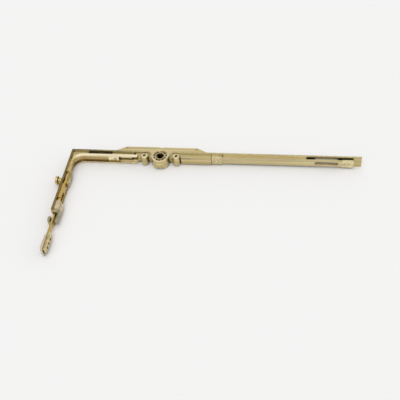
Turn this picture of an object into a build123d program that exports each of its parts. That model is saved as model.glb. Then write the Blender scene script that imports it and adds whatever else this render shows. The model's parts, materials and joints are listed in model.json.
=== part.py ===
from build123d import *
import os
from math import acos, cos, pi, radians, sin, sqrt, tan

os.makedirs("parts", exist_ok=True)

# Window espagnolette, cranked round one corner of a window sash.
# Origin on the spindle axis at mid thickness. +X runs along the long arm, +Y points out of the
# sash through the faceplate, +Z points to the handle. The short arm runs along -Y at low X.
# All sizes are in millimetres.

# Faceplates
BACKSET = 7.5
PLATE_THICK = 2.5
PLATE_WIDTH = 16.0
PLATE_ROUND = 0.5
LONG_RIGHT = 262.5
CORNER_LEFT = 122.7
SHORT_REACH = 102.6
SCREW_BORE = 4.3
SCREW_HEAD = 8.0
SCREW_CONE = 90
LONG_SCREW_INSET = 44.5
SHORT_SCREW_INSET = 20.0
CROP_INSET = 29.5
CROP_WIDTH = 0.7
CROP_DEPTH = 0.4

# Clearances
SLIDE_GAP = 0.15
RUN_GAP = 0.05
SIDE_GAP = 0.3
SEAT_GAP = 0.05

# Spindle nut and rack
SQUARE = 7.0
TEETH = 10
MODULE = 1.62
PRESSURE = 20
DEDENDUM = 1.25
SHIFT = 0.3
BACKLASH = 0.12
NUT_TIP_RADIUS = 9.5
NUT_LOW_COLLAR = 5.95
NUT_HIGH_COLLAR = 6.2
NUT_COLLAR_RISE = 1.3
NUT_RECESS = 5.2
NUT_RECESS_DEPTH = 1.6
TURN = 90
RACK_TEETH = 9
RACK_ADDENDUM = 0.85
RACK_BACK = 15.1
RACK_HALF = 29.0
ARM_START = 26.5
ARM_LEAN = 1.9
FOOT_END = 50.0

# Gear case
CASE_HALF = 6.2
CASE_WALL = 0.95
CASE_FACE = -1.4
CASE_LEFT = -33.3
CASE_TAIL = 3.7
TUNNEL_LEFT = 28.0
RAIL_NOTCH = 15.5
CASE_CROWN = 16.6
CROWN_HALF = 48.0
BASE_HALF = 64.3
CUP_BORE = 9.75
CUP_RADIUS = 11.6
COVER_BORE = 9.0
RIM_RISE = 0.8
RIM_WALL = 1.3
HANDLE_PITCH = 43.0
BOSS_RADIUS = 5.1
HANDLE_TAP = 4.2
BOSS_PAD = 0.5
PAD_RADIUS = 4.5
PAD_CHAMFER = 0.4
CASE_RIVET = 1.1
CASE_RIVET_EYE = 0.55
CASE_RIVET_HEAD = 1.65
CASE_RIVET_RISE = 0.3
EYE_X = 14.4
EYE_Y = 3.3
CROWN_EYE_X = 47.6
CROWN_EYE_Y = 14.2
PIP_X = 27.2
PIP_Y = (9.6, 14.8)
PIP_RADIUS = 0.7
PIP_RISE = 0.35
SEAM_START = 29.0
SEAM_END = 41.0
SEAM_LOW = 3.2
SEAM_HIGH = 3.9
NOTCH_WIDTH = 5.0
NOTCH_DEPTH = 0.8

# Long drive rod
ROD_IN = 0.6
ROD_THICK = 2.0
ROD_START = 41.0
ROD_INSET = 10.0
BLOCK_LENGTH = 15.3
BLOCK_SKIN = 0.4
BLOCK_END_WALL = 2.0
BLOCK_ROUND = 1.5
GUIDE_LENGTH = 14.9
GUIDE_HALF = 5.9
STRIP_LEAD = 1.0
STRIP_INSET = 26.0
RIVET = 1.2

# Left link, slider and corner band
LINK_THICK = 2.0
LINK_START = -40.0
LINK_TAIL = 2.4
LINK_POINT = 3.0
SLIDER_AHEAD = 9.0
SLIDER_BEHIND = 5.0
SLIDER_STEP = 1.0
SLIDER_LUG = 3.2
BOSS_INSET = 5.0
BOSS_NECK = 2.2
BAND_LEAF = 0.5
BAND_LEAVES = 2
BAND_WIDTH = 9.0
BAND_PAST_BOSS = 3.6
BAND_LAP = 10.2

# Guide channels
CHANNEL_HALF = 6.2
CHANNEL_SHEET = 1.0
CHANNEL_BACK = 1.2
CHANNEL_DEPTH = 4.2
BEND_RADIUS = 15.2
CHANNEL_TAIL = 20.0
CHANNEL_LAP = 2.2
FLANGE_ARC = 15.0
WINDOW_AHEAD = 16.0
WINDOW_BEHIND = 26.0
WINDOW_HALF = 3.6
SHORT_CHANNEL_DROP = 10.7
SHORT_CHANNEL_INSET = 22.4
GUSSET_HALF = 6.0
GUSSET_LENGTH = 21.3
GUSSET_HEIGHT = 12.0

# Short bar and mushroom cam
BAR_THICK = 2.4
BAR_WIDE_PAST = 1.9
BAR_PAST = 38.6
BAR_NARROW = 7.0
CARRIER_RISE = 12.2
CARRIER_DROP = 10.3
CARRIER_THICK = 2.4
CARRIER_HALF = 4.8
CARRIER_ROUND = 4.6
CARRIER_EDGE = 0.5
CAM_PLACE = -44.6
CAM_ECCENTRIC = 0.8
CAM_STEM = 2.9
CAM_NECK = 3.6
CAM_FOOT = 4.3
CAM_HEAD = 5.9
CAM_PROUD = 10.3
CAM_CAP = 3.0
CAM_BEVEL = 1.0
CAM_EDGE = 0.5
CAM_KEY = 4.0
CAM_KEY_DEPTH = 2.5
KEY_SIDES = 6
CLIP_THICK = 0.6
CLIP_RADIUS = 3.6

# End guide, fork and end plate, measured on from the short faceplate's end
GUIDE_LAP = 17.1
GUIDE_PAST = 2.9
GUIDE_BLOCK_HALF = 6.2
GUIDE_BLOCK_DEPTH = 6.5
GUIDE_LEG_PAST = 15.9
GUIDE_LEG_THICK = 2.8
GUIDE_RIB_RISE = 2.3
GUIDE_ROUND = 2.0
GUIDE_LEG_HALF = 3.2
HOOK_PROUD = 2.2
HOOK_START = 7.5
HOOK_PAST = 14.4
HOOK_THICK = 3.6
HOOK_HIGH = 3.0
HOOK_ROUND = 1.2
FORK_START = 34.6
FORK_LENGTH = 27.0
FORK_HALF = 4.2
FORK_DEPTH = 3.3
FORK_SOCKET = 5.2
FORK_SOCKET_DEPTH = 1.5
FORK_SOCKET_LENGTH = 3.6
FORK_SLOT_DEPTH = 1.8
FORK_SLOTS = 3
FORK_SLOT_INSET = 7.0
FORK_SLOT_PITCH = 6.6
FORK_SLOT_LENGTH = 3.0
FORK_SLOT_WIDTH = 3.0
FORK_ROUND = 2.6
END_PLATE_INSET = 5.0
END_PLATE_LENGTH = 22.9
END_PLATE_HALF = 7.6
END_PLATE_ROUND = 1.6

# Rivet stations, from the edge or end that each row belongs to
GUSSET_RIVET_INSET = 7.7
GUSSET_RIVET_BITE = 1.6
CHANNEL_RIVET_DROP = 3.6
SHORT_CHANNEL_RIVET_INSETS = (11.0, 3.5)
GUIDE_RIVET_INSETS = (3.5, 9.5)
STRIP_RIVET_INSET = 12.0
BLOCK_RIVET_INSETS = (11.0, 6.0)
RIGHT_FOOT_RIVET_INSETS = (4.0, 7.5)
LEFT_FOOT_RIVET_INSETS = (2.5, 6.5)
FOOT_RIVET_BITE = 0.8
BAND_RIVET_INSETS = (3.2, 7.4)
CARRIER_RIVET_DROP = 5.0
CARRIER_RIVET_Z = 2.6
FORK_RIVET_INSET = 2.0
END_PLATE_RIVET_INSETS = (5.3, 15.0)
END_PLATE_RIVET_BITE = 1.2

# Levels that follow from the sizes above
PLATE_IN = BACKSET - PLATE_THICK
PLATE_HALF = PLATE_WIDTH / 2
SHORT_OUT = -CORNER_LEFT
SHORT_IN = SHORT_OUT + PLATE_THICK
PITCH_RADIUS = MODULE * TEETH / 2
TRAVEL = PITCH_RADIUS * radians(TURN)
CAVITY_HALF = CASE_HALF - CASE_WALL
ROD_HALF = CAVITY_HALF - SLIDE_GAP
ROD_OUT = ROD_IN + ROD_THICK
LINK_OUT = PLATE_IN - SIDE_GAP
LINK_IN = LINK_OUT - LINK_THICK
WEB_IN = CHANNEL_BACK - CHANNEL_SHEET
FLANGE_EDGE = CHANNEL_BACK - CHANNEL_DEPTH
TROUGH_HALF = CHANNEL_HALF - CHANNEL_SHEET
BEND_X = SHORT_IN + BEND_RADIUS
BEND_Y = CHANNEL_BACK - BEND_RADIUS
SHORT_WEB_IN = SHORT_IN + CHANNEL_SHEET
BAND_THICK = BAND_LEAF * BAND_LEAVES
BAND_HALF = BAND_WIDTH / 2
BAND_OUT = WEB_IN - SLIDE_GAP
BAND_IN = BAND_OUT - BAND_THICK
BAR_OUT = SHORT_WEB_IN + SLIDE_GAP
BAR_IN = BAR_OUT + BAR_THICK
SCREW_SLOT = SCREW_BORE + 2 * SIDE_GAP
HANDLE_HALF = HANDLE_PITCH / 2

# Stations along the long arm
CASE_RIGHT = BASE_HALF + CASE_TAIL
GUIDE_END = CASE_RIGHT + GUIDE_LENGTH
LONG_SCREW = LONG_RIGHT - LONG_SCREW_INSET
CROP_MARK = LONG_RIGHT - CROP_INSET
ROD_END = LONG_RIGHT - ROD_INSET
STRIP_START = GUIDE_END + STRIP_LEAD
STRIP_END = LONG_SCREW - STRIP_INSET
LINK_END = -BASE_HALF - LINK_TAIL
BOSS_X = LINK_END + BOSS_INSET
SLIDER_LEFT = BOSS_X - SLIDER_AHEAD
SLIDER_RIGHT = BOSS_X + SLIDER_BEHIND
BAND_LONG_END = BOSS_X + BAND_PAST_BOSS
WINDOW_LEFT = BOSS_X - WINDOW_AHEAD
WINDOW_RIGHT = BOSS_X + WINDOW_BEHIND
GUSSET_RIGHT = SHORT_IN + GUSSET_LENGTH
GUSSET_RIVET_X = SHORT_IN + GUSSET_RIVET_INSET
GUIDE_RIVET_X = [CASE_RIGHT + inset for inset in GUIDE_RIVET_INSETS]
STRIP_MID = (STRIP_START + STRIP_END) / 2
STRIP_RIVET_X = (STRIP_START + STRIP_RIVET_INSET, STRIP_MID, STRIP_END - STRIP_RIVET_INSET)
BLOCK_RIVET_X = [ROD_END - inset for inset in BLOCK_RIVET_INSETS]
RIGHT_FOOT_RIVET_X = [ROD_START + inset for inset in RIGHT_FOOT_RIVET_INSETS]
LEFT_FOOT_RIVET_X = [LINK_START - inset for inset in LEFT_FOOT_RIVET_INSETS]

# Stations along the short arm
PLATE_END = -SHORT_REACH
GUSSET_TOE = PLATE_IN - GUSSET_HEIGHT
GUSSET_RIVET_Y = (PLATE_IN + GUSSET_TOE) / 2
CHANNEL_TOE = BEND_Y - CHANNEL_TAIL
CHANNEL_RIVET_Y = BEND_Y - CHANNEL_RIVET_DROP
BAR_TOP = BEND_Y - TRAVEL - SIDE_GAP
BAND_RIVET_Y = [BAR_TOP - inset for inset in BAND_RIVET_INSETS]
BAND_SHORT_END = BAR_TOP - BAND_LAP
CARRIER_TOP = CAM_PLACE + CARRIER_RISE
CARRIER_TOE = CAM_PLACE - CARRIER_DROP
CARRIER_RIVET_Y = CAM_PLACE - CARRIER_RIVET_DROP
SHORT_CHANNEL_TOP = CAM_PLACE - SHORT_CHANNEL_DROP
SHORT_CHANNEL_TOE = PLATE_END + SHORT_CHANNEL_INSET
SHORT_CHANNEL_RIVET_Y = [SHORT_CHANNEL_TOE + inset for inset in SHORT_CHANNEL_RIVET_INSETS]
SHORT_SCREW = PLATE_END + SHORT_SCREW_INSET
BAR_SHOULDER = PLATE_END - BAR_WIDE_PAST
BAR_TOE = PLATE_END - BAR_PAST
GUIDE_TOP = PLATE_END + GUIDE_LAP
GUIDE_TOE = PLATE_END - GUIDE_PAST
GUIDE_LEG_TOE = PLATE_END - GUIDE_LEG_PAST
GUIDE_BLOCK_INNER = SHORT_IN + GUIDE_BLOCK_DEPTH
HOOK_OUT = SHORT_OUT - HOOK_PROUD
HOOK_TOP = PLATE_END - HOOK_START
HOOK_TOE = PLATE_END - HOOK_PAST
FORK_TOP = PLATE_END - FORK_START
FORK_TOE = FORK_TOP - FORK_LENGTH
FORK_SLOT_FIRST = FORK_TOP - FORK_SLOT_INSET
FORK_RIVET_Y = FORK_TOP - FORK_RIVET_INSET
END_PLATE_TOP = FORK_TOP - END_PLATE_INSET
END_PLATE_TOE = END_PLATE_TOP - END_PLATE_LENGTH
END_PLATE_RIVET_Y = [END_PLATE_TOP - inset for inset in END_PLATE_RIVET_INSETS]


def brick(x0, x1, y0, y1, z0, z1, mode=Mode.ADD):
    """A square-edged block between two corners."""
    with Locations(((x0 + x1) / 2, (y0 + y1) / 2, (z0 + z1) / 2)):
        Box(x1 - x0, y1 - y0, z1 - z0, mode=mode)


def prism(points, z0, z1, mode=Mode.ADD):
    """A straight-sided outline in plan, raised between two heights."""
    with BuildSketch(Plane.XY.offset(z0)) as outline:
        with BuildLine():
            Polyline(*points, close=True)
        make_face()
    extrude(outline.sketch, amount=z1 - z0, mode=mode)


def peg(start, direction, radius, length, mode=Mode.ADD):
    """A round pin, or with Mode.SUBTRACT a round hole, from one point along one direction."""
    with BuildSketch(Plane(origin=start, z_dir=direction)) as outline:
        Circle(radius)
    extrude(outline.sketch, amount=length, mode=mode)


def slot_along_x(x, length, width, y0, y1):
    """A round-ended slot through a flat piece whose faces look along Y."""
    with BuildSketch(Plane(origin=(x, y0, 0), x_dir=(1, 0, 0), z_dir=(0, 1, 0))) as outline:
        SlotOverall(length, width)
    extrude(outline.sketch, amount=y1 - y0, mode=Mode.SUBTRACT)


def slot_along_y(y, length, width, x0, x1):
    """A round-ended slot through a flat piece whose faces look along X."""
    with BuildSketch(Plane(origin=(x0, y, 0), x_dir=(0, 1, 0), z_dir=(1, 0, 0))) as outline:
        SlotOverall(length, width)
    extrude(outline.sketch, amount=x1 - x0, mode=Mode.SUBTRACT)


def write(part, label):
    """Label a finished piece and write it to its own file."""
    part.label = label
    export_step(part, f"parts/{label}.step")


# Long faceplate: carries the case, the rod and the channel, and shows in the sash edge.
with BuildPart() as faceplate_long:
    brick(SHORT_OUT, LONG_RIGHT, PLATE_IN, BACKSET, -PLATE_HALF, PLATE_HALF)
    outer_edges = faceplate_long.edges().filter_by(Axis.X).group_by(Axis.Y)[-1]
    fillet(outer_edges, PLATE_ROUND)
    window_half = BASE_HALF + SLIDE_GAP
    brick(-window_half, window_half, PLATE_IN, BACKSET,
          -CASE_HALF - SEAT_GAP, CASE_HALF + SEAT_GAP, Mode.SUBTRACT)
    brick(-RAIL_NOTCH, RAIL_NOTCH, PLATE_IN, BACKSET, CASE_HALF, PLATE_HALF, Mode.SUBTRACT)
    with Locations(Plane(origin=(LONG_SCREW, BACKSET, 0), z_dir=(0, 1, 0))):
        CounterSinkHole(SCREW_BORE / 2, SCREW_HEAD / 2, PLATE_THICK, SCREW_CONE)
    for x in (GUSSET_RIVET_X, *GUIDE_RIVET_X, *STRIP_RIVET_X):
        peg((x, PLATE_IN, 0), (0, 1, 0), RIVET, PLATE_THICK, Mode.SUBTRACT)
    brick(CROP_MARK - CROP_WIDTH / 2, CROP_MARK + CROP_WIDTH / 2, BACKSET - CROP_DEPTH, BACKSET,
          -PLATE_HALF, PLATE_HALF, Mode.SUBTRACT)
write(faceplate_long.part, "faceplate_long")

# Short faceplate: butts under the long one at the corner, with the slot that the cam runs in.
cam_slot = 2 * (TRAVEL + CAM_STEM + SIDE_GAP)
cam_slot_width = 2 * (CAM_STEM + SIDE_GAP)
with BuildPart() as faceplate_short:
    brick(SHORT_OUT, SHORT_IN, PLATE_END, PLATE_IN, -PLATE_HALF, PLATE_HALF)
    outer_edges = faceplate_short.edges().filter_by(Axis.Y).group_by(Axis.X)[0]
    fillet(outer_edges, PLATE_ROUND)
    slot_along_y(CAM_PLACE, cam_slot, cam_slot_width, SHORT_OUT, SHORT_IN)
    with Locations(Plane(origin=(SHORT_OUT, SHORT_SCREW, 0), z_dir=(-1, 0, 0))):
        CounterSinkHole(SCREW_BORE / 2, SCREW_HEAD / 2, PLATE_THICK, SCREW_CONE)
    for y in (GUSSET_RIVET_Y, CHANNEL_RIVET_Y, *SHORT_CHANNEL_RIVET_Y):
        peg((SHORT_OUT, y, 0), (1, 0, 0), RIVET, PLATE_THICK, Mode.SUBTRACT)
write(faceplate_short.part, "faceplate_short")

# Corner gusset: the cast block that ties both plates and backs the bend of the channel.
gusset_radius = BEND_RADIUS + SEAT_GAP
gusset_face = BEND_Y + gusset_radius
gusset_arc_start = (BEND_X, gusset_face)
gusset_arc_end = (BEND_X - sqrt(gusset_radius ** 2 - (GUSSET_TOE - BEND_Y) ** 2), GUSSET_TOE)
gusset_arc_mid = (BEND_X - gusset_radius * sin(pi / 4), BEND_Y + gusset_radius * sin(pi / 4))
with BuildPart() as corner_gusset:
    with BuildSketch(Plane.XY.offset(-GUSSET_HALF)):
        with BuildLine():
            Line((SHORT_IN, PLATE_IN), (GUSSET_RIGHT, PLATE_IN))
            Line((GUSSET_RIGHT, PLATE_IN), (GUSSET_RIGHT, gusset_face))
            Line((GUSSET_RIGHT, gusset_face), gusset_arc_start)
            ThreePointArc(gusset_arc_start, gusset_arc_mid, gusset_arc_end)
            Line(gusset_arc_end, (SHORT_IN, GUSSET_TOE))
            Line((SHORT_IN, GUSSET_TOE), (SHORT_IN, PLATE_IN))
        make_face()
    extrude(amount=2 * GUSSET_HALF)
    peg((GUSSET_RIVET_X, PLATE_IN, 0), (0, -1, 0), RIVET, GUSSET_RIVET_BITE, Mode.SUBTRACT)
    peg((SHORT_IN, GUSSET_RIVET_Y, 0), (1, 0, 0), RIVET, GUSSET_RIVET_BITE, Mode.SUBTRACT)
write(corner_gusset.part, "corner_gusset")


def bend_point(radius, angle):
    """A point of the bend, at an angle in degrees from +X about the bend's centre."""
    return (BEND_X + radius * cos(radians(angle)), BEND_Y + radius * sin(radians(angle)))


# Guide channel: a folded C of sheet, open to the inside of the corner, bent round it. The handle
# side's flange keeps its width all the way, and the other one runs out into the web.
web_outer = BEND_RADIUS
web_inner = BEND_RADIUS - CHANNEL_SHEET
flange_inner = BEND_RADIUS - CHANNEL_DEPTH
short_flange_edge = SHORT_IN + CHANNEL_DEPTH
flange_x = SHORT_WEB_IN + FLANGE_ARC
flange_y = FLANGE_EDGE - FLANGE_ARC
flange_mid = (flange_x - FLANGE_ARC * sin(pi / 4), flange_y + FLANGE_ARC * sin(pi / 4))
channel_end = CASE_LEFT + CHANNEL_LAP
with BuildPart() as guide_channel:
    for inner_radius, z0, z1 in (
        (web_inner, -CHANNEL_HALF, CHANNEL_HALF),
        (flange_inner, TROUGH_HALF, CHANNEL_HALF),
    ):
        inner_x = BEND_X - inner_radius
        inner_y = BEND_Y + inner_radius
        with BuildSketch(Plane.XY.offset(z0)) as outline:
            with BuildLine():
                Line((channel_end, CHANNEL_BACK), bend_point(web_outer, 90))
                ThreePointArc(*[bend_point(web_outer, angle) for angle in (90, 135, 180)])
                Line(bend_point(web_outer, 180), (SHORT_IN, CHANNEL_TOE))
                Line((SHORT_IN, CHANNEL_TOE), (inner_x, CHANNEL_TOE))
                Line((inner_x, CHANNEL_TOE), bend_point(inner_radius, 180))
                ThreePointArc(*[bend_point(inner_radius, angle) for angle in (180, 135, 90)])
                Line(bend_point(inner_radius, 90), (channel_end, inner_y))
                Line((channel_end, inner_y), (channel_end, CHANNEL_BACK))
            make_face()
        extrude(outline.sketch, amount=z1 - z0)
    with BuildSketch(Plane.XY.offset(-CHANNEL_HALF)) as low_flange:
        with BuildLine():
            Line((channel_end, CHANNEL_BACK), bend_point(web_outer, 90))
            ThreePointArc(*[bend_point(web_outer, angle) for angle in (90, 135, 180)])
            Line(bend_point(web_outer, 180), (SHORT_IN, flange_y))
            Line((SHORT_IN, flange_y), (SHORT_WEB_IN, flange_y))
            ThreePointArc((SHORT_WEB_IN, flange_y), flange_mid, (flange_x, FLANGE_EDGE))
            Line((flange_x, FLANGE_EDGE), (channel_end, FLANGE_EDGE))
            Line((channel_end, FLANGE_EDGE), (channel_end, CHANNEL_BACK))
        make_face()
    extrude(low_flange.sketch, amount=CHANNEL_SHEET)
    slot_along_x((WINDOW_LEFT + WINDOW_RIGHT) / 2, WINDOW_RIGHT - WINDOW_LEFT, 2 * WINDOW_HALF,
                 WEB_IN, CHANNEL_BACK)
    slot_along_y(CAM_PLACE, cam_slot, cam_slot_width, SHORT_IN, SHORT_WEB_IN)
    peg((SHORT_IN, CHANNEL_RIVET_Y, 0), (1, 0, 0), RIVET, CHANNEL_SHEET, Mode.SUBTRACT)
write(guide_channel.part, "guide_channel")

# Short channel: the same section again below the cam, riveted to the short faceplate.
with BuildPart() as short_channel:
    brick(SHORT_IN, short_flange_edge, SHORT_CHANNEL_TOE, SHORT_CHANNEL_TOP, -CHANNEL_HALF, CHANNEL_HALF)
    brick(SHORT_WEB_IN, short_flange_edge, SHORT_CHANNEL_TOE, SHORT_CHANNEL_TOP,
          -TROUGH_HALF, TROUGH_HALF, Mode.SUBTRACT)
    slot_along_y(CAM_PLACE, cam_slot, cam_slot_width, SHORT_IN, SHORT_WEB_IN)
    for y in SHORT_CHANNEL_RIVET_Y:
        peg((SHORT_IN, y, 0), (1, 0, 0), RIVET, CHANNEL_SHEET, Mode.SUBTRACT)
write(short_channel.part, "short_channel")


# Gear case: a cast tub with the cup for the spindle nut, two threaded bosses for the handle and
# the space that the rack sweeps, closed by a cover.
rack_root = PITCH_RADIUS + (SHIFT + DEDENDUM) * MODULE
rack_line = PITCH_RADIUS + SHIFT * MODULE
rack_tip = rack_line - RACK_ADDENDUM * MODULE
sweep = TRAVEL + SIDE_GAP
roof = CASE_CROWN - CASE_WALL
slope = (BASE_HALF - CROWN_HALF) / (CASE_CROWN - BACKSET)
slope_wall = CASE_WALL * sqrt(1 + slope ** 2)
roof_half = CROWN_HALF + slope * CASE_WALL - slope_wall
end_half = BASE_HALF - CASE_WALL
cavity_floor = rack_tip - 2 * SIDE_GAP
arm_inner = ARM_START - sweep
arm_floor_x = arm_inner + (rack_root - cavity_floor) * ARM_LEAN
rod_start_x = ROD_START - sweep
link_start_x = LINK_START + sweep
rod_corner_y = rack_root - (rod_start_x - arm_inner) / ARM_LEAN
link_corner_y = rack_root - (-link_start_x - arm_inner) / ARM_LEAN
rod_roof = ROD_OUT + SLIDE_GAP
rod_floor = ROD_IN - SLIDE_GAP

case_outline = (
    (-BASE_HALF, PLATE_IN),
    (-BASE_HALF, BACKSET),
    (-CROWN_HALF, CASE_CROWN),
    (CROWN_HALF, CASE_CROWN),
    (BASE_HALF, BACKSET),
    (BASE_HALF, PLATE_IN),
    (CASE_RIGHT, PLATE_IN),
    (CASE_RIGHT, CASE_FACE),
    (TUNNEL_LEFT, CASE_FACE),
    (TUNNEL_LEFT, CHANNEL_BACK),
    (CASE_LEFT, CHANNEL_BACK),
    (CASE_LEFT, PLATE_IN),
)
rack_space = (
    (-end_half, LINK_IN - SIDE_GAP),
    (-end_half, BACKSET),
    (-roof_half, roof),
    (roof_half, roof),
    (end_half, BACKSET),
    (end_half, PLATE_IN),
    (FOOT_END + sweep, PLATE_IN),
    (FOOT_END + sweep, rod_roof),
    (CASE_RIGHT, rod_roof),
    (CASE_RIGHT, rod_floor),
    (rod_start_x, rod_floor),
    (rod_start_x, rod_corner_y),
    (arm_floor_x, cavity_floor),
    (-arm_floor_x, cavity_floor),
    (link_start_x, link_corner_y),
    (link_start_x, LINK_IN - SIDE_GAP),
)
case_rivet_spots = (
    (-EYE_X, EYE_Y),
    (EYE_X, EYE_Y),
    (-CROWN_EYE_X, CROWN_EYE_Y),
    (CROWN_EYE_X, CROWN_EYE_Y),
)

with BuildPart() as case_base:
    prism(case_outline, -CASE_HALF, CAVITY_HALF)
    peg((0, 0, -CASE_HALF), (0, 0, 1), CUP_RADIUS, CASE_HALF + CAVITY_HALF)
    for x in (-HANDLE_HALF, HANDLE_HALF):
        peg((x, 0, -CASE_HALF), (0, 0, 1), BOSS_RADIUS, CASE_HALF + CAVITY_HALF)
    prism(rack_space, -CAVITY_HALF, CAVITY_HALF, Mode.SUBTRACT)
    peg((0, 0, -CAVITY_HALF), (0, 0, 1), CUP_BORE, 2 * CAVITY_HALF, Mode.SUBTRACT)
    peg((0, 0, -CASE_HALF), (0, 0, 1), NUT_LOW_COLLAR + RUN_GAP, CASE_WALL, Mode.SUBTRACT)
    for x in (-HANDLE_HALF, HANDLE_HALF):
        peg((x, 0, -CASE_HALF), (0, 0, 1), HANDLE_TAP / 2, 2 * CASE_HALF, Mode.SUBTRACT)
    for x, y in case_rivet_spots:
        peg((x, y, -CASE_HALF), (0, 0, 1), CASE_RIVET, 2 * CASE_HALF, Mode.SUBTRACT)
    brick(SEAM_START, SEAM_END, CASE_FACE, rod_floor, SEAM_LOW, SEAM_HIGH, Mode.SUBTRACT)
write(case_base.part, "case_base")

with BuildPart() as case_cover:
    prism(case_outline, CAVITY_HALF, CASE_HALF)
    peg((0, 0, CAVITY_HALF), (0, 0, 1), CUP_RADIUS, CASE_WALL + RIM_RISE)
    peg((0, 0, CASE_HALF), (0, 0, 1), CUP_RADIUS - RIM_WALL, RIM_RISE, Mode.SUBTRACT)
    for x in (-HANDLE_HALF, HANDLE_HALF):
        peg((x, 0, CAVITY_HALF), (0, 0, 1), BOSS_RADIUS, CASE_WALL)
        peg((x, 0, CASE_HALF), (0, 0, 1), PAD_RADIUS, BOSS_PAD)
    circles = case_cover.edges().filter_by(GeomType.CIRCLE)
    pad_rims = circles.filter_by(lambda edge: abs(edge.radius - PAD_RADIUS) < RUN_GAP)
    chamfer(pad_rims.group_by(Axis.Z)[-1], PAD_CHAMFER)
    peg((0, 0, CAVITY_HALF), (0, 0, 1), COVER_BORE, CASE_WALL, Mode.SUBTRACT)
    for x in (-HANDLE_HALF, HANDLE_HALF):
        peg((x, 0, CAVITY_HALF), (0, 0, 1), HANDLE_TAP / 2, CASE_WALL + BOSS_PAD, Mode.SUBTRACT)
    for x, y in case_rivet_spots:
        peg((x, y, CAVITY_HALF), (0, 0, 1), CASE_RIVET, CASE_WALL, Mode.SUBTRACT)
    brick(-NOTCH_WIDTH / 2, NOTCH_WIDTH / 2, CASE_CROWN - NOTCH_DEPTH, CASE_CROWN,
          CAVITY_HALF, CASE_HALF, Mode.SUBTRACT)
    for y in PIP_Y:
        peg((PIP_X, y, CASE_HALF), (0, 0, 1), PIP_RADIUS, PIP_RISE)
write(case_cover.part, "case_cover")

# Tubular rivets that close the case, with their open eyes to the handle side.
with BuildPart() as case_rivets:
    for x, y in case_rivet_spots:
        peg((x, y, -CASE_HALF), (0, 0, 1), CASE_RIVET, 2 * CASE_HALF)
        peg((x, y, CASE_HALF), (0, 0, 1), CASE_RIVET_HEAD, CASE_RIVET_RISE)
        peg((x, y, 0), (0, 0, 1), CASE_RIVET_EYE, 2 * CASE_HALF, Mode.SUBTRACT)
write(case_rivets.part, "case_rivets")

# Spindle nut: ten involute teeth on a hub with the square socket for the handle's spindle.
base_radius = PITCH_RADIUS * cos(radians(PRESSURE))
nut_root = PITCH_RADIUS - (DEDENDUM - SHIFT) * MODULE
pressure_slope = tan(radians(PRESSURE))
pitch_tooth = MODULE * (pi / 2 + 2 * SHIFT * pressure_slope) - BACKLASH / 2
pitch_half_angle = pitch_tooth / (2 * PITCH_RADIUS)


def involute(radius):
    """The involute angle, in radians, at a radius of the tooth flank."""
    angle = acos(min(1, base_radius / radius))
    return tan(angle) - angle


def flank_point(radius, centre, side):
    """A point of one flank of the tooth that stands at an angle, on its low or high side."""
    half = pitch_half_angle + involute(PITCH_RADIUS) - involute(radius)
    angle = centre + side * half
    return (radius * cos(angle), radius * sin(angle))


with BuildPart() as spindle_nut:
    with BuildSketch(Plane.XY.offset(-ROD_HALF)):
        Circle(nut_root)
        for tooth in range(TEETH):
            centre = pi / 2 + 2 * pi * (tooth + 0.5) / TEETH
            low = [flank_point(r, centre, -1) for r in (base_radius, PITCH_RADIUS, NUT_TIP_RADIUS)]
            high = [flank_point(r, centre, 1) for r in (base_radius, PITCH_RADIUS, NUT_TIP_RADIUS)]
            with BuildLine():
                ThreePointArc(*low)
                Line(low[-1], high[-1])
                ThreePointArc(*high)
                Polyline(high[0], (0, 0), low[0])
            make_face()
    extrude(amount=2 * ROD_HALF - RUN_GAP)
    peg((0, 0, -CASE_HALF), (0, 0, 1), NUT_LOW_COLLAR, CASE_HALF)
    peg((0, 0, 0), (0, 0, 1), NUT_HIGH_COLLAR, ROD_HALF + NUT_COLLAR_RISE)
    peg((0, 0, ROD_HALF + NUT_COLLAR_RISE), (0, 0, -1), NUT_RECESS, NUT_RECESS_DEPTH, Mode.SUBTRACT)
    brick(-SQUARE / 2, SQUARE / 2, -SQUARE / 2, SQUARE / 2, -CASE_HALF, 2 * CASE_HALF, Mode.SUBTRACT)
write(spindle_nut.part, "spindle_nut")

# Rack: a toothed bar on the outer side of the nut, whose arms reach down to the rod and the link.
rack_pitch = pi * MODULE
tooth_half = (rack_pitch - BACKLASH) / 4
tip_half = tooth_half - MODULE * pressure_slope
root_half = tooth_half + DEDENDUM * MODULE * pressure_slope
left_foot_in = ARM_START + (rack_root - LINK_OUT) * ARM_LEAN
left_foot_out = RACK_HALF + (RACK_BACK - LINK_OUT) * ARM_LEAN
right_foot_in = ARM_START + (rack_root - ROD_OUT) * ARM_LEAN
foot_end_y = RACK_BACK - (FOOT_END - RACK_HALF) / ARM_LEAN
rack_points = [(-left_foot_out, LINK_OUT), (-left_foot_in, LINK_OUT), (-ARM_START, rack_root)]
for tooth in range(RACK_TEETH):
    x = (tooth - (RACK_TEETH - 1) / 2) * rack_pitch
    rack_points += [(x - root_half, rack_root), (x - tip_half, rack_tip)]
    rack_points += [(x + tip_half, rack_tip), (x + root_half, rack_root)]
rack_points += [(ARM_START, rack_root), (right_foot_in, ROD_OUT), (FOOT_END, ROD_OUT)]
rack_points += [(FOOT_END, foot_end_y), (RACK_HALF, RACK_BACK), (-RACK_HALF, RACK_BACK)]
with BuildPart() as rack:
    prism(rack_points, -ROD_HALF, ROD_HALF)
    for x in RIGHT_FOOT_RIVET_X:
        peg((x, ROD_OUT, 0), (0, 1, 0), RIVET, FOOT_RIVET_BITE, Mode.SUBTRACT)
    for x in LEFT_FOOT_RIVET_X:
        peg((x, LINK_OUT, 0), (0, 1, 0), RIVET, FOOT_RIVET_BITE, Mode.SUBTRACT)
write(rack.part, "rack")

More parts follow.
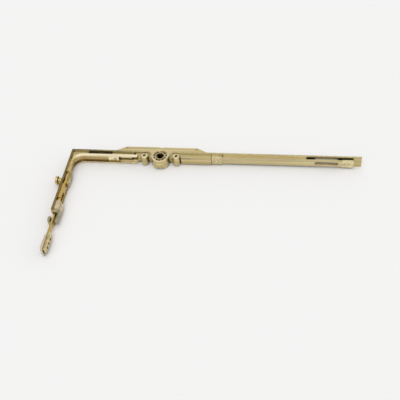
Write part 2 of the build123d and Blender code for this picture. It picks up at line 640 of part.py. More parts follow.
with BuildPart() as rack_rivets:
    for x in RIGHT_FOOT_RIVET_X:
        peg((x, ROD_IN, 0), (0, 1, 0), RIVET, ROD_THICK + FOOT_RIVET_BITE)
    for x in LEFT_FOOT_RIVET_X:
        peg((x, LINK_IN, 0), (0, 1, 0), RIVET, LINK_THICK + FOOT_RIVET_BITE)
write(rack_rivets.part, "rack_rivets")

# Drive rod of the long arm, with the slot that lets the faceplate's screw through at any stroke.
screw_slot = 2 * TRAVEL + SCREW_SLOT
rod_tip = ROD_END - BLOCK_END_WALL
with BuildPart() as drive_rod:
    brick(ROD_START, rod_tip, ROD_IN, ROD_OUT, -ROD_HALF, ROD_HALF)
    slot_along_x(LONG_SCREW, screw_slot, SCREW_SLOT, ROD_IN, ROD_OUT)
    for x in (*RIGHT_FOOT_RIVET_X, *BLOCK_RIVET_X):
        peg((x, ROD_IN, 0), (0, 1, 0), RIVET, ROD_THICK, Mode.SUBTRACT)
write(drive_rod.part, "drive_rod")

# Coupling block on the rod's free end.
block_start = ROD_END - BLOCK_LENGTH
block_half = ROD_HALF + BLOCK_SKIN
block_in = ROD_IN - BLOCK_SKIN
block_thick = ROD_THICK + 2 * BLOCK_SKIN
with BuildPart() as rod_end_block:
    brick(block_start, ROD_END, block_in, block_in + block_thick, -block_half, block_half)
    fillet(rod_end_block.edges().filter_by(Axis.Y), BLOCK_ROUND)
    brick(block_start, rod_tip, ROD_IN, ROD_OUT, -ROD_HALF, ROD_HALF, Mode.SUBTRACT)
    for x in BLOCK_RIVET_X:
        peg((x, block_in, 0), (0, 1, 0), RIVET, block_thick, Mode.SUBTRACT)
write(rod_end_block.part, "rod_end_block")

with BuildPart() as rod_end_rivets:
    for x in BLOCK_RIVET_X:
        peg((x, block_in, 0), (0, 1, 0), RIVET, block_thick)
write(rod_end_rivets.part, "rod_end_rivets")

# Rod guide: a cast loop at the end of the case, riveted to the faceplate.
with BuildPart() as rod_guide:
    brick(CASE_RIGHT, GUIDE_END, rod_floor - CASE_WALL, PLATE_IN, -GUIDE_HALF, GUIDE_HALF)
    brick(CASE_RIGHT, GUIDE_END, rod_floor, rod_roof, -CAVITY_HALF, CAVITY_HALF, Mode.SUBTRACT)
    for x in GUIDE_RIVET_X:
        peg((x, rod_roof, 0), (0, 1, 0), RIVET, PLATE_IN - rod_roof, Mode.SUBTRACT)
write(rod_guide.part, "rod_guide")

with BuildPart() as rod_guide_rivets:
    for x in GUIDE_RIVET_X:
        peg((x, rod_roof, 0), (0, 1, 0), RIVET, BACKSET - rod_roof)
write(rod_guide_rivets.part, "rod_guide_rivets")

# Glide strip between the rod and the faceplate.
with BuildPart() as glide_strip:
    brick(STRIP_START, STRIP_END, rod_roof, PLATE_IN, -ROD_HALF, ROD_HALF)
    for x in STRIP_RIVET_X:
        peg((x, rod_roof, 0), (0, 1, 0), RIVET, PLATE_IN - rod_roof, Mode.SUBTRACT)
write(glide_strip.part, "glide_strip")

with BuildPart() as glide_strip_rivets:
    for x in STRIP_RIVET_X:
        peg((x, rod_roof, 0), (0, 1, 0), RIVET, BACKSET - rod_roof)
write(glide_strip_rivets.part, "glide_strip_rivets")

# Link bar: carries the rack's stroke to the slider, between the channel and the faceplate.
link_points = (
    (LINK_START, LINK_IN),
    (LINK_START, LINK_OUT),
    (LINK_END + LINK_POINT, LINK_OUT),
    (LINK_END, LINK_IN + LINK_THICK / 2),
    (LINK_END, LINK_IN),
)
with BuildPart() as link_bar:
    prism(link_points, -ROD_HALF, ROD_HALF)
    for x in (*LEFT_FOOT_RIVET_X, BOSS_X):
        peg((x, LINK_IN, 0), (0, 1, 0), RIVET, LINK_THICK, Mode.SUBTRACT)
write(link_bar.part, "link_bar")

# Slider in the channel: its boss passes the band and the channel's window to the link bar.
slider_back = BAND_IN - SEAT_GAP
slider_face = FLANGE_EDGE + SLIDE_GAP
slider_half = TROUGH_HALF - SLIDE_GAP
with BuildPart() as band_slider:
    brick(SLIDER_LEFT, SLIDER_RIGHT, slider_face, slider_back, -slider_half, slider_half)
    brick(SLIDER_LEFT + SLIDER_LUG, SLIDER_RIGHT - SLIDER_LUG, slider_face, slider_face + SLIDER_STEP,
          -slider_half, slider_half, Mode.SUBTRACT)
    peg((BOSS_X, slider_back, 0), (0, 1, 0), BOSS_NECK, LINK_IN - slider_back)
    peg((BOSS_X, slider_face, 0), (0, 1, 0), RIVET, LINK_OUT - slider_face, Mode.SUBTRACT)
write(band_slider.part, "band_slider")

with BuildPart() as slider_rivet:
    peg((BOSS_X, slider_face + SLIDER_STEP, 0), (0, 1, 0), RIVET, LINK_OUT - slider_face - SLIDER_STEP)
write(slider_rivet.part, "slider_rivet")


def leaf_points(depth):
    """The bend radius and both straight levels of a band surface, at a depth below its outside."""
    radius = web_inner - SLIDE_GAP - depth
    long_y = BAND_OUT - depth
    short_x = BAR_OUT + depth
    return radius, long_y, short_x


# Corner band: two spring-steel leaves that pull and push round the bend.
for leaf, name in enumerate(("corner_band_outer", "corner_band_inner")):
    outer_radius, outer_y, outer_x = leaf_points(leaf * BAND_LEAF)
    inner_radius, inner_y, inner_x = leaf_points((leaf + 1) * BAND_LEAF)
    with BuildPart() as corner_band:
        with BuildSketch(Plane.XY.offset(-BAND_HALF)):
            with BuildLine():
                Line((BAND_LONG_END, outer_y), bend_point(outer_radius, 90))
                ThreePointArc(*[bend_point(outer_radius, angle) for angle in (90, 135, 180)])
                Line(bend_point(outer_radius, 180), (outer_x, BAND_SHORT_END))
                Line((outer_x, BAND_SHORT_END), (inner_x, BAND_SHORT_END))
                Line((inner_x, BAND_SHORT_END), bend_point(inner_radius, 180))
                ThreePointArc(*[bend_point(inner_radius, angle) for angle in (180, 135, 90)])
                Line(bend_point(inner_radius, 90), (BAND_LONG_END, inner_y))
                Line((BAND_LONG_END, inner_y), (BAND_LONG_END, outer_y))
            make_face()
        extrude(amount=BAND_WIDTH)
        peg((BOSS_X, inner_y, 0), (0, 1, 0), BOSS_NECK + RUN_GAP, BAND_LEAF, Mode.SUBTRACT)
        for y in BAND_RIVET_Y:
            peg((outer_x, y, 0), (1, 0, 0), RIVET + RUN_GAP, BAND_LEAF, Mode.SUBTRACT)
    write(corner_band.part, name)

# Short bar: pulled by the band, it carries the mushroom cam and ends in the fork.
bar_half = TROUGH_HALF - SLIDE_GAP
narrow_half = BAR_NARROW / 2
bar_step = BAR_OUT + BAND_THICK + SEAT_GAP
with BuildPart() as short_bar:
    brick(BAR_OUT, BAR_IN, BAR_SHOULDER, BAR_TOP, -bar_half, bar_half)
    brick(BAR_OUT, BAR_IN, BAR_TOE, BAR_SHOULDER, -narrow_half, narrow_half)
    brick(BAR_OUT, bar_step, BAND_SHORT_END - SIDE_GAP, BAR_TOP, -bar_half, bar_half, Mode.SUBTRACT)
    slot_along_y(SHORT_SCREW, screw_slot, SCREW_SLOT, BAR_OUT, BAR_IN)
    peg((BAR_OUT, CAM_PLACE, 0), (1, 0, 0), CAM_STEM + RUN_GAP, BAR_THICK, Mode.SUBTRACT)
    for y in (*BAND_RIVET_Y, FORK_RIVET_Y):
        peg((BAR_OUT, y, 0), (1, 0, 0), RIVET, BAR_THICK, Mode.SUBTRACT)
    for z in (-CARRIER_RIVET_Z, CARRIER_RIVET_Z):
        peg((BAR_OUT, CARRIER_RIVET_Y, z), (1, 0, 0), RIVET, BAR_THICK, Mode.SUBTRACT)
write(short_bar.part, "short_bar")

with BuildPart() as band_rivets:
    for y in BAND_RIVET_Y:
        peg((BAR_OUT, y, 0), (1, 0, 0), RIVET, BAR_THICK)
write(band_rivets.part, "band_rivets")

# Cam carrier: the oval cast block on the bar that backs the cam's stem.
carrier_in = BAR_IN + CARRIER_THICK
with BuildPart() as cam_carrier:
    brick(BAR_IN, carrier_in, CARRIER_TOE, CARRIER_TOP, -CARRIER_HALF, CARRIER_HALF)
    fillet(cam_carrier.edges().filter_by(Axis.X), CARRIER_ROUND)
    fillet(cam_carrier.edges().group_by(Axis.X)[-1], CARRIER_EDGE)
    peg((BAR_IN, CAM_PLACE, 0), (1, 0, 0), CAM_STEM + RUN_GAP, CARRIER_THICK, Mode.SUBTRACT)
    peg((carrier_in, CAM_PLACE, 0), (-1, 0, 0), CLIP_RADIUS + RUN_GAP, CLIP_THICK, Mode.SUBTRACT)
    for z in (-CARRIER_RIVET_Z, CARRIER_RIVET_Z):
        peg((BAR_IN, CARRIER_RIVET_Y, z), (1, 0, 0), RIVET, CARRIER_THICK, Mode.SUBTRACT)
write(cam_carrier.part, "cam_carrier")

with BuildPart() as carrier_rivets:
    for z in (-CARRIER_RIVET_Z, CARRIER_RIVET_Z):
        peg((BAR_OUT, CARRIER_RIVET_Y, z), (1, 0, 0), RIVET, BAR_THICK + CARRIER_THICK)
write(carrier_rivets.part, "carrier_rivets")

# Mushroom cam: its head stands off the stem's axis, so a turn with a key sets the closing pressure.
cam_axis_y = CAM_PLACE - CAM_ECCENTRIC
cam_foot_x = SHORT_OUT - SIDE_GAP
cam_top_x = SHORT_OUT - CAM_PROUD
cam_under_x = cam_top_x + CAM_CAP
cam_profile = (
    (cam_foot_x, 0),
    (cam_foot_x, CAM_FOOT),
    (cam_foot_x - CAM_BEVEL, CAM_FOOT),
    (cam_foot_x - 2 * CAM_BEVEL, CAM_NECK),
    (cam_under_x + CAM_BEVEL, CAM_NECK),
    (cam_under_x, CAM_HEAD),
    (cam_top_x + CAM_EDGE, CAM_HEAD),
    (cam_top_x, CAM_HEAD - CAM_BEVEL),
    (cam_top_x, 0),
)
with BuildPart() as mushroom_cam:
    with BuildSketch(Plane(origin=(0, cam_axis_y, 0))):
        with BuildLine():
            Polyline(*cam_profile, close=True)
        make_face()
    revolve(axis=Axis((0, cam_axis_y, 0), (1, 0, 0)))
    peg((cam_foot_x, CAM_PLACE, 0), (1, 0, 0), CAM_STEM, carrier_in - cam_foot_x)
    with BuildSketch(Plane(origin=(cam_top_x, cam_axis_y, 0), z_dir=(1, 0, 0))):
        RegularPolygon(CAM_KEY / 2, KEY_SIDES, major_radius=False)
    extrude(amount=CAM_KEY_DEPTH, mode=Mode.SUBTRACT)
    peg((carrier_in, CAM_PLACE, 0), (-1, 0, 0), CLIP_RADIUS, CLIP_THICK, Mode.SUBTRACT)
write(mushroom_cam.part, "mushroom_cam")

with BuildPart() as cam_clip:
    peg((carrier_in, CAM_PLACE, 0), (-1, 0, 0), CLIP_RADIUS, CLIP_THICK)
write(cam_clip.part, "cam_clip")

# End guide: the cast piece that closes round the bar at the short plate's end, with a rib that
# runs on as a leg beside the bar and a hook that grips past the plate's face.
tunnel_half = bar_half + SLIDE_GAP
guide_rib_inner = GUIDE_BLOCK_INNER + GUIDE_RIB_RISE
guide_rib_outer = guide_rib_inner - GUIDE_LEG_THICK
hook_inner = HOOK_OUT + HOOK_THICK
with BuildPart() as end_guide:
    brick(SHORT_IN, GUIDE_BLOCK_INNER, GUIDE_TOE, GUIDE_TOP, -GUIDE_BLOCK_HALF, GUIDE_BLOCK_HALF)
    fillet(end_guide.edges().group_by(Axis.X)[-1], GUIDE_ROUND)
    brick(guide_rib_outer, guide_rib_inner, GUIDE_LEG_TOE, GUIDE_TOP - GUIDE_LEG_THICK,
          -GUIDE_LEG_HALF, GUIDE_LEG_HALF)
    fillet(end_guide.edges().filter_by(Axis.Z).group_by(Axis.X)[-1], GUIDE_ROUND)
    brick(HOOK_OUT, hook_inner, HOOK_TOE, HOOK_TOP, -GUIDE_BLOCK_HALF, HOOK_HIGH)
    fillet(end_guide.edges().filter_by(Axis.Z).group_by(Axis.X)[0], HOOK_ROUND)
    brick(hook_inner, BAR_IN + SLIDE_GAP, HOOK_TOE, PLATE_END - SEAT_GAP, -GUIDE_BLOCK_HALF, -tunnel_half)
    brick(BAR_OUT - SLIDE_GAP, BAR_IN + SLIDE_GAP, HOOK_TOE, GUIDE_TOP,
          -tunnel_half, tunnel_half, Mode.SUBTRACT)
    brick(SHORT_IN, BAR_IN, PLATE_END, GUIDE_TOP, -tunnel_half, tunnel_half, Mode.SUBTRACT)
write(end_guide.part, "end_guide")

# Coupling fork lapped on the bar's end, with the pockets that the next rod's teeth drop into.
fork_in = BAR_IN + FORK_DEPTH
socket_half = FORK_SOCKET / 2
with BuildPart() as end_fork:
    brick(BAR_IN, fork_in, FORK_TOE, FORK_TOP, -FORK_HALF, FORK_HALF)
    fillet(end_fork.edges().filter_by(Axis.X).group_by(Axis.Y)[0], FORK_ROUND)
    brick(BAR_IN, BAR_IN + FORK_SOCKET_DEPTH, FORK_TOE, FORK_TOE + FORK_SOCKET_LENGTH,
          -socket_half, socket_half, Mode.SUBTRACT)
    for slot in range(FORK_SLOTS):
        y = FORK_SLOT_FIRST - slot * FORK_SLOT_PITCH
        brick(fork_in - FORK_SLOT_DEPTH, fork_in, y - FORK_SLOT_LENGTH / 2, y + FORK_SLOT_LENGTH / 2,
              -FORK_SLOT_WIDTH / 2, FORK_SLOT_WIDTH / 2, Mode.SUBTRACT)
    peg((BAR_IN, FORK_RIVET_Y, 0), (1, 0, 0), RIVET, FORK_DEPTH, Mode.SUBTRACT)
    for y in END_PLATE_RIVET_Y:
        peg((BAR_IN, y, 0), (1, 0, 0), RIVET, END_PLATE_RIVET_BITE, Mode.SUBTRACT)
write(end_fork.part, "end_fork")

# End plate: the bright strip on the fork's outer face, in line with the bar.
with BuildPart() as end_plate:
    brick(BAR_OUT, BAR_IN, END_PLATE_TOE, END_PLATE_TOP, -END_PLATE_HALF, END_PLATE_HALF)
    fillet(end_plate.edges().filter_by(Axis.X), END_PLATE_ROUND)
    for y in END_PLATE_RIVET_Y:
        peg((BAR_OUT, y, 0), (1, 0, 0), RIVET, BAR_THICK, Mode.SUBTRACT)
write(end_plate.part, "end_plate")

with BuildPart() as fork_rivets:
    peg((BAR_OUT, FORK_RIVET_Y, 0), (1, 0, 0), RIVET, BAR_THICK + FORK_DEPTH)
    for y in END_PLATE_RIVET_Y:
        peg((BAR_OUT, y, 0), (1, 0, 0), RIVET, BAR_THICK + END_PLATE_RIVET_BITE)
write(fork_rivets.part, "fork_rivets")

# Flush rivets of the fixed pieces of the corner and the short arm.
with BuildPart() as gusset_rivets:
    peg((GUSSET_RIVET_X, BACKSET, 0), (0, -1, 0), RIVET, PLATE_THICK + GUSSET_RIVET_BITE)
    peg((SHORT_OUT, GUSSET_RIVET_Y, 0), (1, 0, 0), RIVET, PLATE_THICK + GUSSET_RIVET_BITE)
write(gusset_rivets.part, "gusset_rivets")

with BuildPart() as channel_rivets:
    for y in (CHANNEL_RIVET_Y, *SHORT_CHANNEL_RIVET_Y):
        peg((SHORT_OUT, y, 0), (1, 0, 0), RIVET, PLATE_THICK + CHANNEL_SHEET)
write(channel_rivets.part, "channel_rivets")
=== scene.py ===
# %% [markdown]
# # Window espagnolette
# This hardware sits in the edge of a window sash. A handle turns the toothed nut in the gear case.
# The nut drives a rod behind the long faceplate, and a spring band carries the same stroke round
# the corner to the short bar with its mushroom cam.
#
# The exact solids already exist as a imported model, so the lesson starts by loading them as a fixed
# frame. Everything made here is placed from their real positions, in metres.

# %% Load the frame
import json
from math import cos, pi, radians, sin

import bmesh
import bpy
from mathutils import Matrix, Vector


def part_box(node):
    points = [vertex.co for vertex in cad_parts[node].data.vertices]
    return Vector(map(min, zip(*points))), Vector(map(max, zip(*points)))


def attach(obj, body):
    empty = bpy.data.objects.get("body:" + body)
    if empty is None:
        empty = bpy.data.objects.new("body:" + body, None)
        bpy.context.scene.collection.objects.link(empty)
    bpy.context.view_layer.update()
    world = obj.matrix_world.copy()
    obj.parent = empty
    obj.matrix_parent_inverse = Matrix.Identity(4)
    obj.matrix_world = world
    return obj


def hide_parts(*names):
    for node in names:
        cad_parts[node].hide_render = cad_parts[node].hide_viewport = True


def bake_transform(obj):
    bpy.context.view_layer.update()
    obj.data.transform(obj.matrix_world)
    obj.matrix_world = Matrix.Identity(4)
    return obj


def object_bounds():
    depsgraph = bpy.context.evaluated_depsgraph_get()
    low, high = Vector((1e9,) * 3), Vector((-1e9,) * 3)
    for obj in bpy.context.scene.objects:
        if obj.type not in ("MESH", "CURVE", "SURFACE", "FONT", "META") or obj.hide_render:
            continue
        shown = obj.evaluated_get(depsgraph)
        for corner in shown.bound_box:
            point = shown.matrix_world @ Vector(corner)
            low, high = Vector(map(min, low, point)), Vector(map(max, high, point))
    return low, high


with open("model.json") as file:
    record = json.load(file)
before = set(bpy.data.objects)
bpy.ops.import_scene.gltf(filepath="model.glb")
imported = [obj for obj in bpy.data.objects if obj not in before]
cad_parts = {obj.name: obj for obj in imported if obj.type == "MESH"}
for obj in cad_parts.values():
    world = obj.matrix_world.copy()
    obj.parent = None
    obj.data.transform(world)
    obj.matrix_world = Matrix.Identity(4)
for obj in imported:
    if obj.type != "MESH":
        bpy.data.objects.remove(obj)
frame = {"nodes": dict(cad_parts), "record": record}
nodes = frame["nodes"]
bodies = frame["record"]["behaviour"]["bodies"]
body_of_node = {node: body for body, members in bodies.items() for node in members}
slot_of_node = {part["node"]: part["material_slot"] for part in frame["record"]["subparts"]}
cad_low, cad_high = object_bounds()
MM = 0.001
print("frame:", len(nodes), "nodes,", round((cad_high[0] - cad_low[0]) / MM, 1), "mm long")

# %% [markdown]
# ## The camera
# The product picture was taken from in front and above, to the right of the part's middle, with
# a rather long lens. A camera could be placed by eye, but then every edge would be a little off.
# Its place and its three axes were solved from the outline instead, so they are written down as
# numbers. The rows of the matrix are the camera's right, its up, and the way it looks away from.

# %% Camera
CAMERA_PLACE = (0.182496, -0.636196, 0.62454)
CAMERA_RIGHT = (0.9892151, 0.1227997, -0.0798353)
CAMERA_UP = (-0.037053, 0.7371379, 0.6747257)
CAMERA_BACK = (0.1417058, -0.6644907, 0.7337381)
FOCAL_PIXELS = 678.9
IMAGE_PIXELS = 400
SENSOR_WIDTH = 36
NEAREST_SEEN = 0.01

camera_data = bpy.data.cameras.new("view")
camera_data.sensor_width = SENSOR_WIDTH
camera_data.lens = SENSOR_WIDTH * FOCAL_PIXELS / IMAGE_PIXELS
camera_data.clip_start = NEAREST_SEEN
camera = bpy.data.objects.new("view", camera_data)
turn = Matrix((CAMERA_RIGHT, CAMERA_UP, CAMERA_BACK)).transposed().to_4x4()
camera.matrix_world = Matrix.Translation(CAMERA_PLACE) @ turn
bpy.context.scene.collection.objects.link(camera)
bpy.context.scene.camera = camera
print("lens:", round(camera_data.lens, 1), "mm")

# %% [markdown]
# ## Small helpers
# A material in Blender is a graph of nodes. The same few steps come back in every graph, so they
# get short helpers: an empty material, a node with its values set by name, a step of arithmetic,
# a mix of two colours and a soft step. The helpers also serve the geometry graph of the rivets.


# %% Helpers for graphs
def new_material(name):
    """A material with an empty node tree."""
    material = bpy.data.materials.new(name)
    material.use_nodes = True
    material.node_tree.nodes.clear()
    return material, material.node_tree


def put(socket, value, tree):
    """Wires an output to a socket, or sets the socket to a plain value."""
    if isinstance(value, bpy.types.NodeSocket):
        tree.links.new(value, socket)
    else:
        socket.default_value = value


def add(tree, kind, **inputs):
    """A node of a kind, with some of its inputs set or wired by name."""
    node = tree.nodes.new(kind)
    for key, value in inputs.items():
        put(node.inputs[key.replace("_", " ")], value, tree)
    return node


def maths(tree, operation, *values):
    """One step of arithmetic on wires or numbers."""
    node = tree.nodes.new("ShaderNodeMath")
    node.operation = operation
    for socket, value in zip(node.inputs, values):
        put(socket, value, tree)
    return node.outputs[0]


def vectors(tree, operation, *values):
    """One step of vector arithmetic on wires or triples."""
    node = tree.nodes.new("ShaderNodeVectorMath")
    node.operation = operation
    for socket, value in zip(node.inputs, values):
        put(socket, value, tree)
    return node.outputs["Value" if operation in ("DOT_PRODUCT", "LENGTH") else "Vector"]


def scale_by(tree, colour, factor):
    """A colour made lighter or darker by a factor that may change over the surface."""
    node = tree.nodes.new("ShaderNodeVectorMath")
    node.operation = "SCALE"
    put(node.inputs[0], colour, tree)
    put(node.inputs["Scale"], factor, tree)
    return node.outputs["Vector"]


# A Mix node has sockets for several kinds of value, and these are the numbers of the colour ones.
MIX_SHARE, MIX_FIRST, MIX_SECOND, MIX_RESULT = 0, 6, 7, 2


def blend_colours(tree, share, first, second):
    """The first colour turned towards the second by a share."""
    node = tree.nodes.new("ShaderNodeMix")
    node.data_type = "RGBA"
    put(node.inputs[MIX_SHARE], share, tree)
    put(node.inputs[MIX_FIRST], first, tree)
    put(node.inputs[MIX_SECOND], second, tree)
    return node.outputs[MIX_RESULT]


def between(tree, value, low, high):
    """A soft step from 0 at low to 1 at high."""
    node = tree.nodes.new("ShaderNodeMapRange")
    node.interpolation_type = "SMOOTHSTEP"
    put(node.inputs["Value"], value, tree)
    node.inputs["From Min"].default_value = low
    node.inputs["From Max"].default_value = high
    return node.outputs[0]


# %% [markdown]
# ## Floor and light
# The part lies on a pale sheet in a studio with light from all sides. A metal shows what stands
# round it, so the light is a broad pale sky. It is brightest overhead, like the ceiling lights of
# such a studio, and darker low on the left, where the room is open, and low in front, where the
# camera stands. Rounded edges then catch a cream line above and a brown one below, and flat faces
# catch the wall or the sheet. Lamps close by would light the sheet unevenly, so the only lamp is a
# distant one with a wide disc. It shines from a little above the camera, so its shadow hides
# behind the part, as in the photograph.

# %% Floor
FLOOR_REACH = 6.0
FLOOR_TONE = (0.84, 0.84, 0.845, 1)
CORNER_SIGNS = ((-1, -1), (1, -1), (1, 1), (-1, 1))

floor_mesh = bpy.data.meshes.new("floor")
corners = [(FLOOR_REACH * x, FLOOR_REACH * y, cad_low[2]) for x, y in CORNER_SIGNS]
floor_mesh.from_pydata(corners, [], [(0, 1, 2, 3)])
floor = bpy.data.objects.new("floor", floor_mesh)
bpy.context.scene.collection.objects.link(floor)
floor_material, tree = new_material("pale sheet")
paper = add(tree, "ShaderNodeBsdfDiffuse", Color=FLOOR_TONE)
add(tree, "ShaderNodeOutputMaterial", Surface=paper.outputs[0])
floor_mesh.materials.append(floor_material)
print("floor at z", round(cad_low[2] / MM, 1), "mm")

# %% Sky
SKY_STRENGTH = 0.92
SKY_WALL = (0.95, 0.95, 0.96, 1)
SKY_CROWN = (1.58, 1.58, 1.54, 1)
CROWN_STEP = (0.8, 0.98)
OPEN_SIDE = Vector((-1, 0.1, 0.2)).normalized()
OPEN_TONE = (0.3, 0.29, 0.26, 1)
OPEN_STEP = (0.6, 0.95)
FRONT_SIDE = Vector((0.1, -1, 0.3)).normalized()
FRONT_TONE = (0.4, 0.36, 0.28, 1)
FRONT_STEP = (0.78, 0.96)

world = bpy.data.worlds.new("studio")
bpy.context.scene.world = world
world.use_nodes = True
tree = world.node_tree
tree.nodes.clear()
way = add(tree, "ShaderNodeTexCoord").outputs["Generated"]
height = add(tree, "ShaderNodeSeparateXYZ", Vector=way).outputs["Z"]
walls = blend_colours(tree, between(tree, height, *CROWN_STEP), SKY_WALL, SKY_CROWN)
towards_open = vectors(tree, "DOT_PRODUCT", way, OPEN_SIDE)
opened = blend_colours(tree, between(tree, towards_open, *OPEN_STEP), walls, OPEN_TONE)
towards_front = vectors(tree, "DOT_PRODUCT", way, FRONT_SIDE)
tone = blend_colours(tree, between(tree, towards_front, *FRONT_STEP), opened, FRONT_TONE)
soft = add(tree, "ShaderNodeBackground", Color=tone, Strength=SKY_STRENGTH)
add(tree, "ShaderNodeOutputWorld", Surface=soft.outputs[0])
print("sky strength:", SKY_STRENGTH)


# %% Lamp
LAMP_PLACE = (0.05, -0.55, 0.84)
LAMP_STRENGTH = 0.7
LAMP_DISC = 24


def wide_sun(name, place, strength, disc):
    """A distant round lamp, a number of degrees wide, that shines from a place to the middle."""
    data = bpy.data.lights.new(name, "SUN")
    data.energy = strength
    data.angle = radians(disc)
    lamp = bpy.data.objects.new(name, data)
    lamp.matrix_world = Vector(place).to_track_quat("Z", "Y").to_matrix().to_4x4()
    bpy.context.scene.collection.objects.link(lamp)


wide_sun("front light", LAMP_PLACE, LAMP_STRENGTH, LAMP_DISC)
bpy.context.scene.view_settings.view_transform = "Standard"
print("lamp:", LAMP_DISC, "degrees wide")

# %% [markdown]
# ## Effects that several finishes share
# Steel and zinc parts like these are plated and then dipped in a yellow chromate. The film is
# gold, but it wanders towards pink and green where it is thicker or thinner. In corners and seams
# it is painted brown as shade. An image could show that, but it would stretch at edges.
# Noise read on the object's own coordinates goes through the solid, so nothing has to be unwrapped.
# Each effect is a node group, so that every finish can use it with its own values.


# %% Helper for node groups
def new_group(name, inputs, outputs):
    """An empty shader group with named sockets, and its two end nodes."""
    group = bpy.data.node_groups.new(name, "ShaderNodeTree")
    for label, kind, value in inputs:
        socket = group.interface.new_socket(name=label, in_out="INPUT", socket_type=kind)
        socket.default_value = value
    for label, kind in outputs:
        group.interface.new_socket(name=label, in_out="OUTPUT", socket_type=kind)
    given = group.nodes.new("NodeGroupInput").outputs
    return group, given, group.nodes.new("NodeGroupOutput").inputs


def use(tree, group, **inputs):
    """A group placed in a material, with its values set by name."""
    node = tree.nodes.new("ShaderNodeGroup")
    node.node_tree = group
    for key, value in inputs.items():
        put(node.inputs[key.replace("_", " ")], value, tree)
    return node.outputs


FLOAT, COLOUR, VECTOR = "NodeSocketFloat", "NodeSocketColor", "NodeSocketVector"

# %% [markdown]
# ### Chromate film
# Two slow noises turn the gold towards pink and towards green, and a fine one makes it a little
# lighter or darker. The part hangs by one end in the bath and the liquid runs off along it, so the
# patches are drawn out along each arm. The ambient occlusion node measures how closed in a point
# is, and there the film is painted brown as shade: a wide reach for shade in corners, a short one
# for a dark shadow line in a seam. It isn't a light, so it looks the same in any scene. The last
# inputs turn a piece towards another colour on one side: a stain on some finishes, painted shade
# on others, and the darker side of a painted reflection on the channel's folds.

# %% Chromate film group
OTHER_NOISE_SHIFT = (0.37, 0.21, 0.53)
FINE_TIMES = 12.0
PINK_STEP = (0.46, 0.78)
GREEN_STEP = (0.48, 0.78)
SPECKLE_GAIN, SPECKLE_BASE = 0.3, 0.85
OCCLUSION_SAMPLES = 8
CORNER_STEP, CORNER_MOST = (0.35, 0.85), 0.95
SEAM_STEP, SEAM_MOST = (0.3, 0.8), 0.75

film, given, result = new_group(
    "chromate film",
    (
        ("Gold", COLOUR, (0.56, 0.46, 0.24, 1)),
        ("Pink", COLOUR, (0.62, 0.45, 0.28, 1)),
        ("Green", COLOUR, (0.48, 0.45, 0.22, 1)),
        ("Brown", COLOUR, (0.13, 0.085, 0.012, 1)),
        ("Run", VECTOR, (0.14, 1.0, 1.0)),
        ("Patch Scale", FLOAT, 170.0),
        ("Corner Reach", FLOAT, 0.005),
        ("Seam Shade Reach", FLOAT, 0.0012),
        ("Stain And Shade", COLOUR, (0.2, 0.15, 0.05, 1)),
        ("Stain And Shade Along", VECTOR, (0.0, 0.0, 0.0)),
        ("Stain And Shade From", FLOAT, 1.0),
        ("Stain And Shade Full", FLOAT, 2.0),
    ),
    (("Color", COLOUR), ("Patch", FLOAT)),
)
place = add(film, "ShaderNodeTexCoord").outputs["Object"]
drawn = vectors(film, "MULTIPLY", place, given["Run"])
patches = {"Scale": given["Patch Scale"], "Detail": 3.0, "Roughness": 0.55}
slow = add(film, "ShaderNodeTexNoise", Vector=drawn, **patches)
shifted = vectors(film, "ADD", drawn, OTHER_NOISE_SHIFT)
other = add(film, "ShaderNodeTexNoise", Vector=shifted, **patches)
fine_scale = maths(film, "MULTIPLY", given["Patch Scale"], FINE_TIMES)
fine = add(film, "ShaderNodeTexNoise", Vector=place, Scale=fine_scale, Detail=2.0)
pink_share = between(film, slow.outputs["Fac"], *PINK_STEP)
pinker = blend_colours(film, pink_share, given["Gold"], given["Pink"])
green_share = between(film, other.outputs["Fac"], *GREEN_STEP)
greener = blend_colours(film, green_share, pinker, given["Green"])
speckle = maths(film, "MULTIPLY_ADD", fine.outputs["Fac"], SPECKLE_GAIN, SPECKLE_BASE)
lit = scale_by(film, greener, speckle)
# A colour grows towards one side: a real stain on some finishes, painted shade on others.
way_along = vectors(film, "DOT_PRODUCT", place, given["Stain And Shade Along"])
past_start = maths(film, "SUBTRACT", way_along, given["Stain And Shade From"])
stain_and_shade_length = maths(film, "SUBTRACT", given["Stain And Shade Full"], given["Stain And Shade From"])
stain_and_shade_share = between(film, maths(film, "DIVIDE", past_start, stain_and_shade_length), 0.0, 1.0)
stain_and_shade_mix = blend_colours(film, stain_and_shade_share, lit, given["Stain And Shade"])


def closed_in(reach, step, most):
    """How closed in a point is within a reach, as a share of painted shade."""
    openness = add(film, "ShaderNodeAmbientOcclusion", Distance=reach)
    openness.samples = OCCLUSION_SAMPLES
    closed = maths(film, "SUBTRACT", 1.0, openness.outputs["AO"])
    return maths(film, "MULTIPLY", between(film, closed, *step), most)


# Painted shade: brown where a point is closed in, widely in corners and as a thin dark line in a
# seam.
corner = closed_in(given["Corner Reach"], CORNER_STEP, CORNER_MOST)
seam = closed_in(given["Seam Shade Reach"], SEAM_STEP, SEAM_MOST)
brown = maths(film, "MAXIMUM", corner, seam)
film.links.new(blend_colours(film, brown, stain_and_shade_mix, given["Brown"]), result["Color"])
film.links.new(slow.outputs["Fac"], result["Patch"])
print("group:", film.name, len(film.nodes), "nodes")

# %% [markdown]
# ### Worn edges
# Handling rubs the film off sharp edges first, and bright zinc shows. The bevel node gives the
# normal that a rounded edge would have. Where it turns away from the real normal there is an
# edge, and a noise breaks the line up, because wear is never even.

# %% Edge wear group
BEVEL_SAMPLES = 6
BREAK_SCALE = 900.0
BREAK_STEP = (0.35, 0.62)
TURN_STEP = (0.01, 0.14)

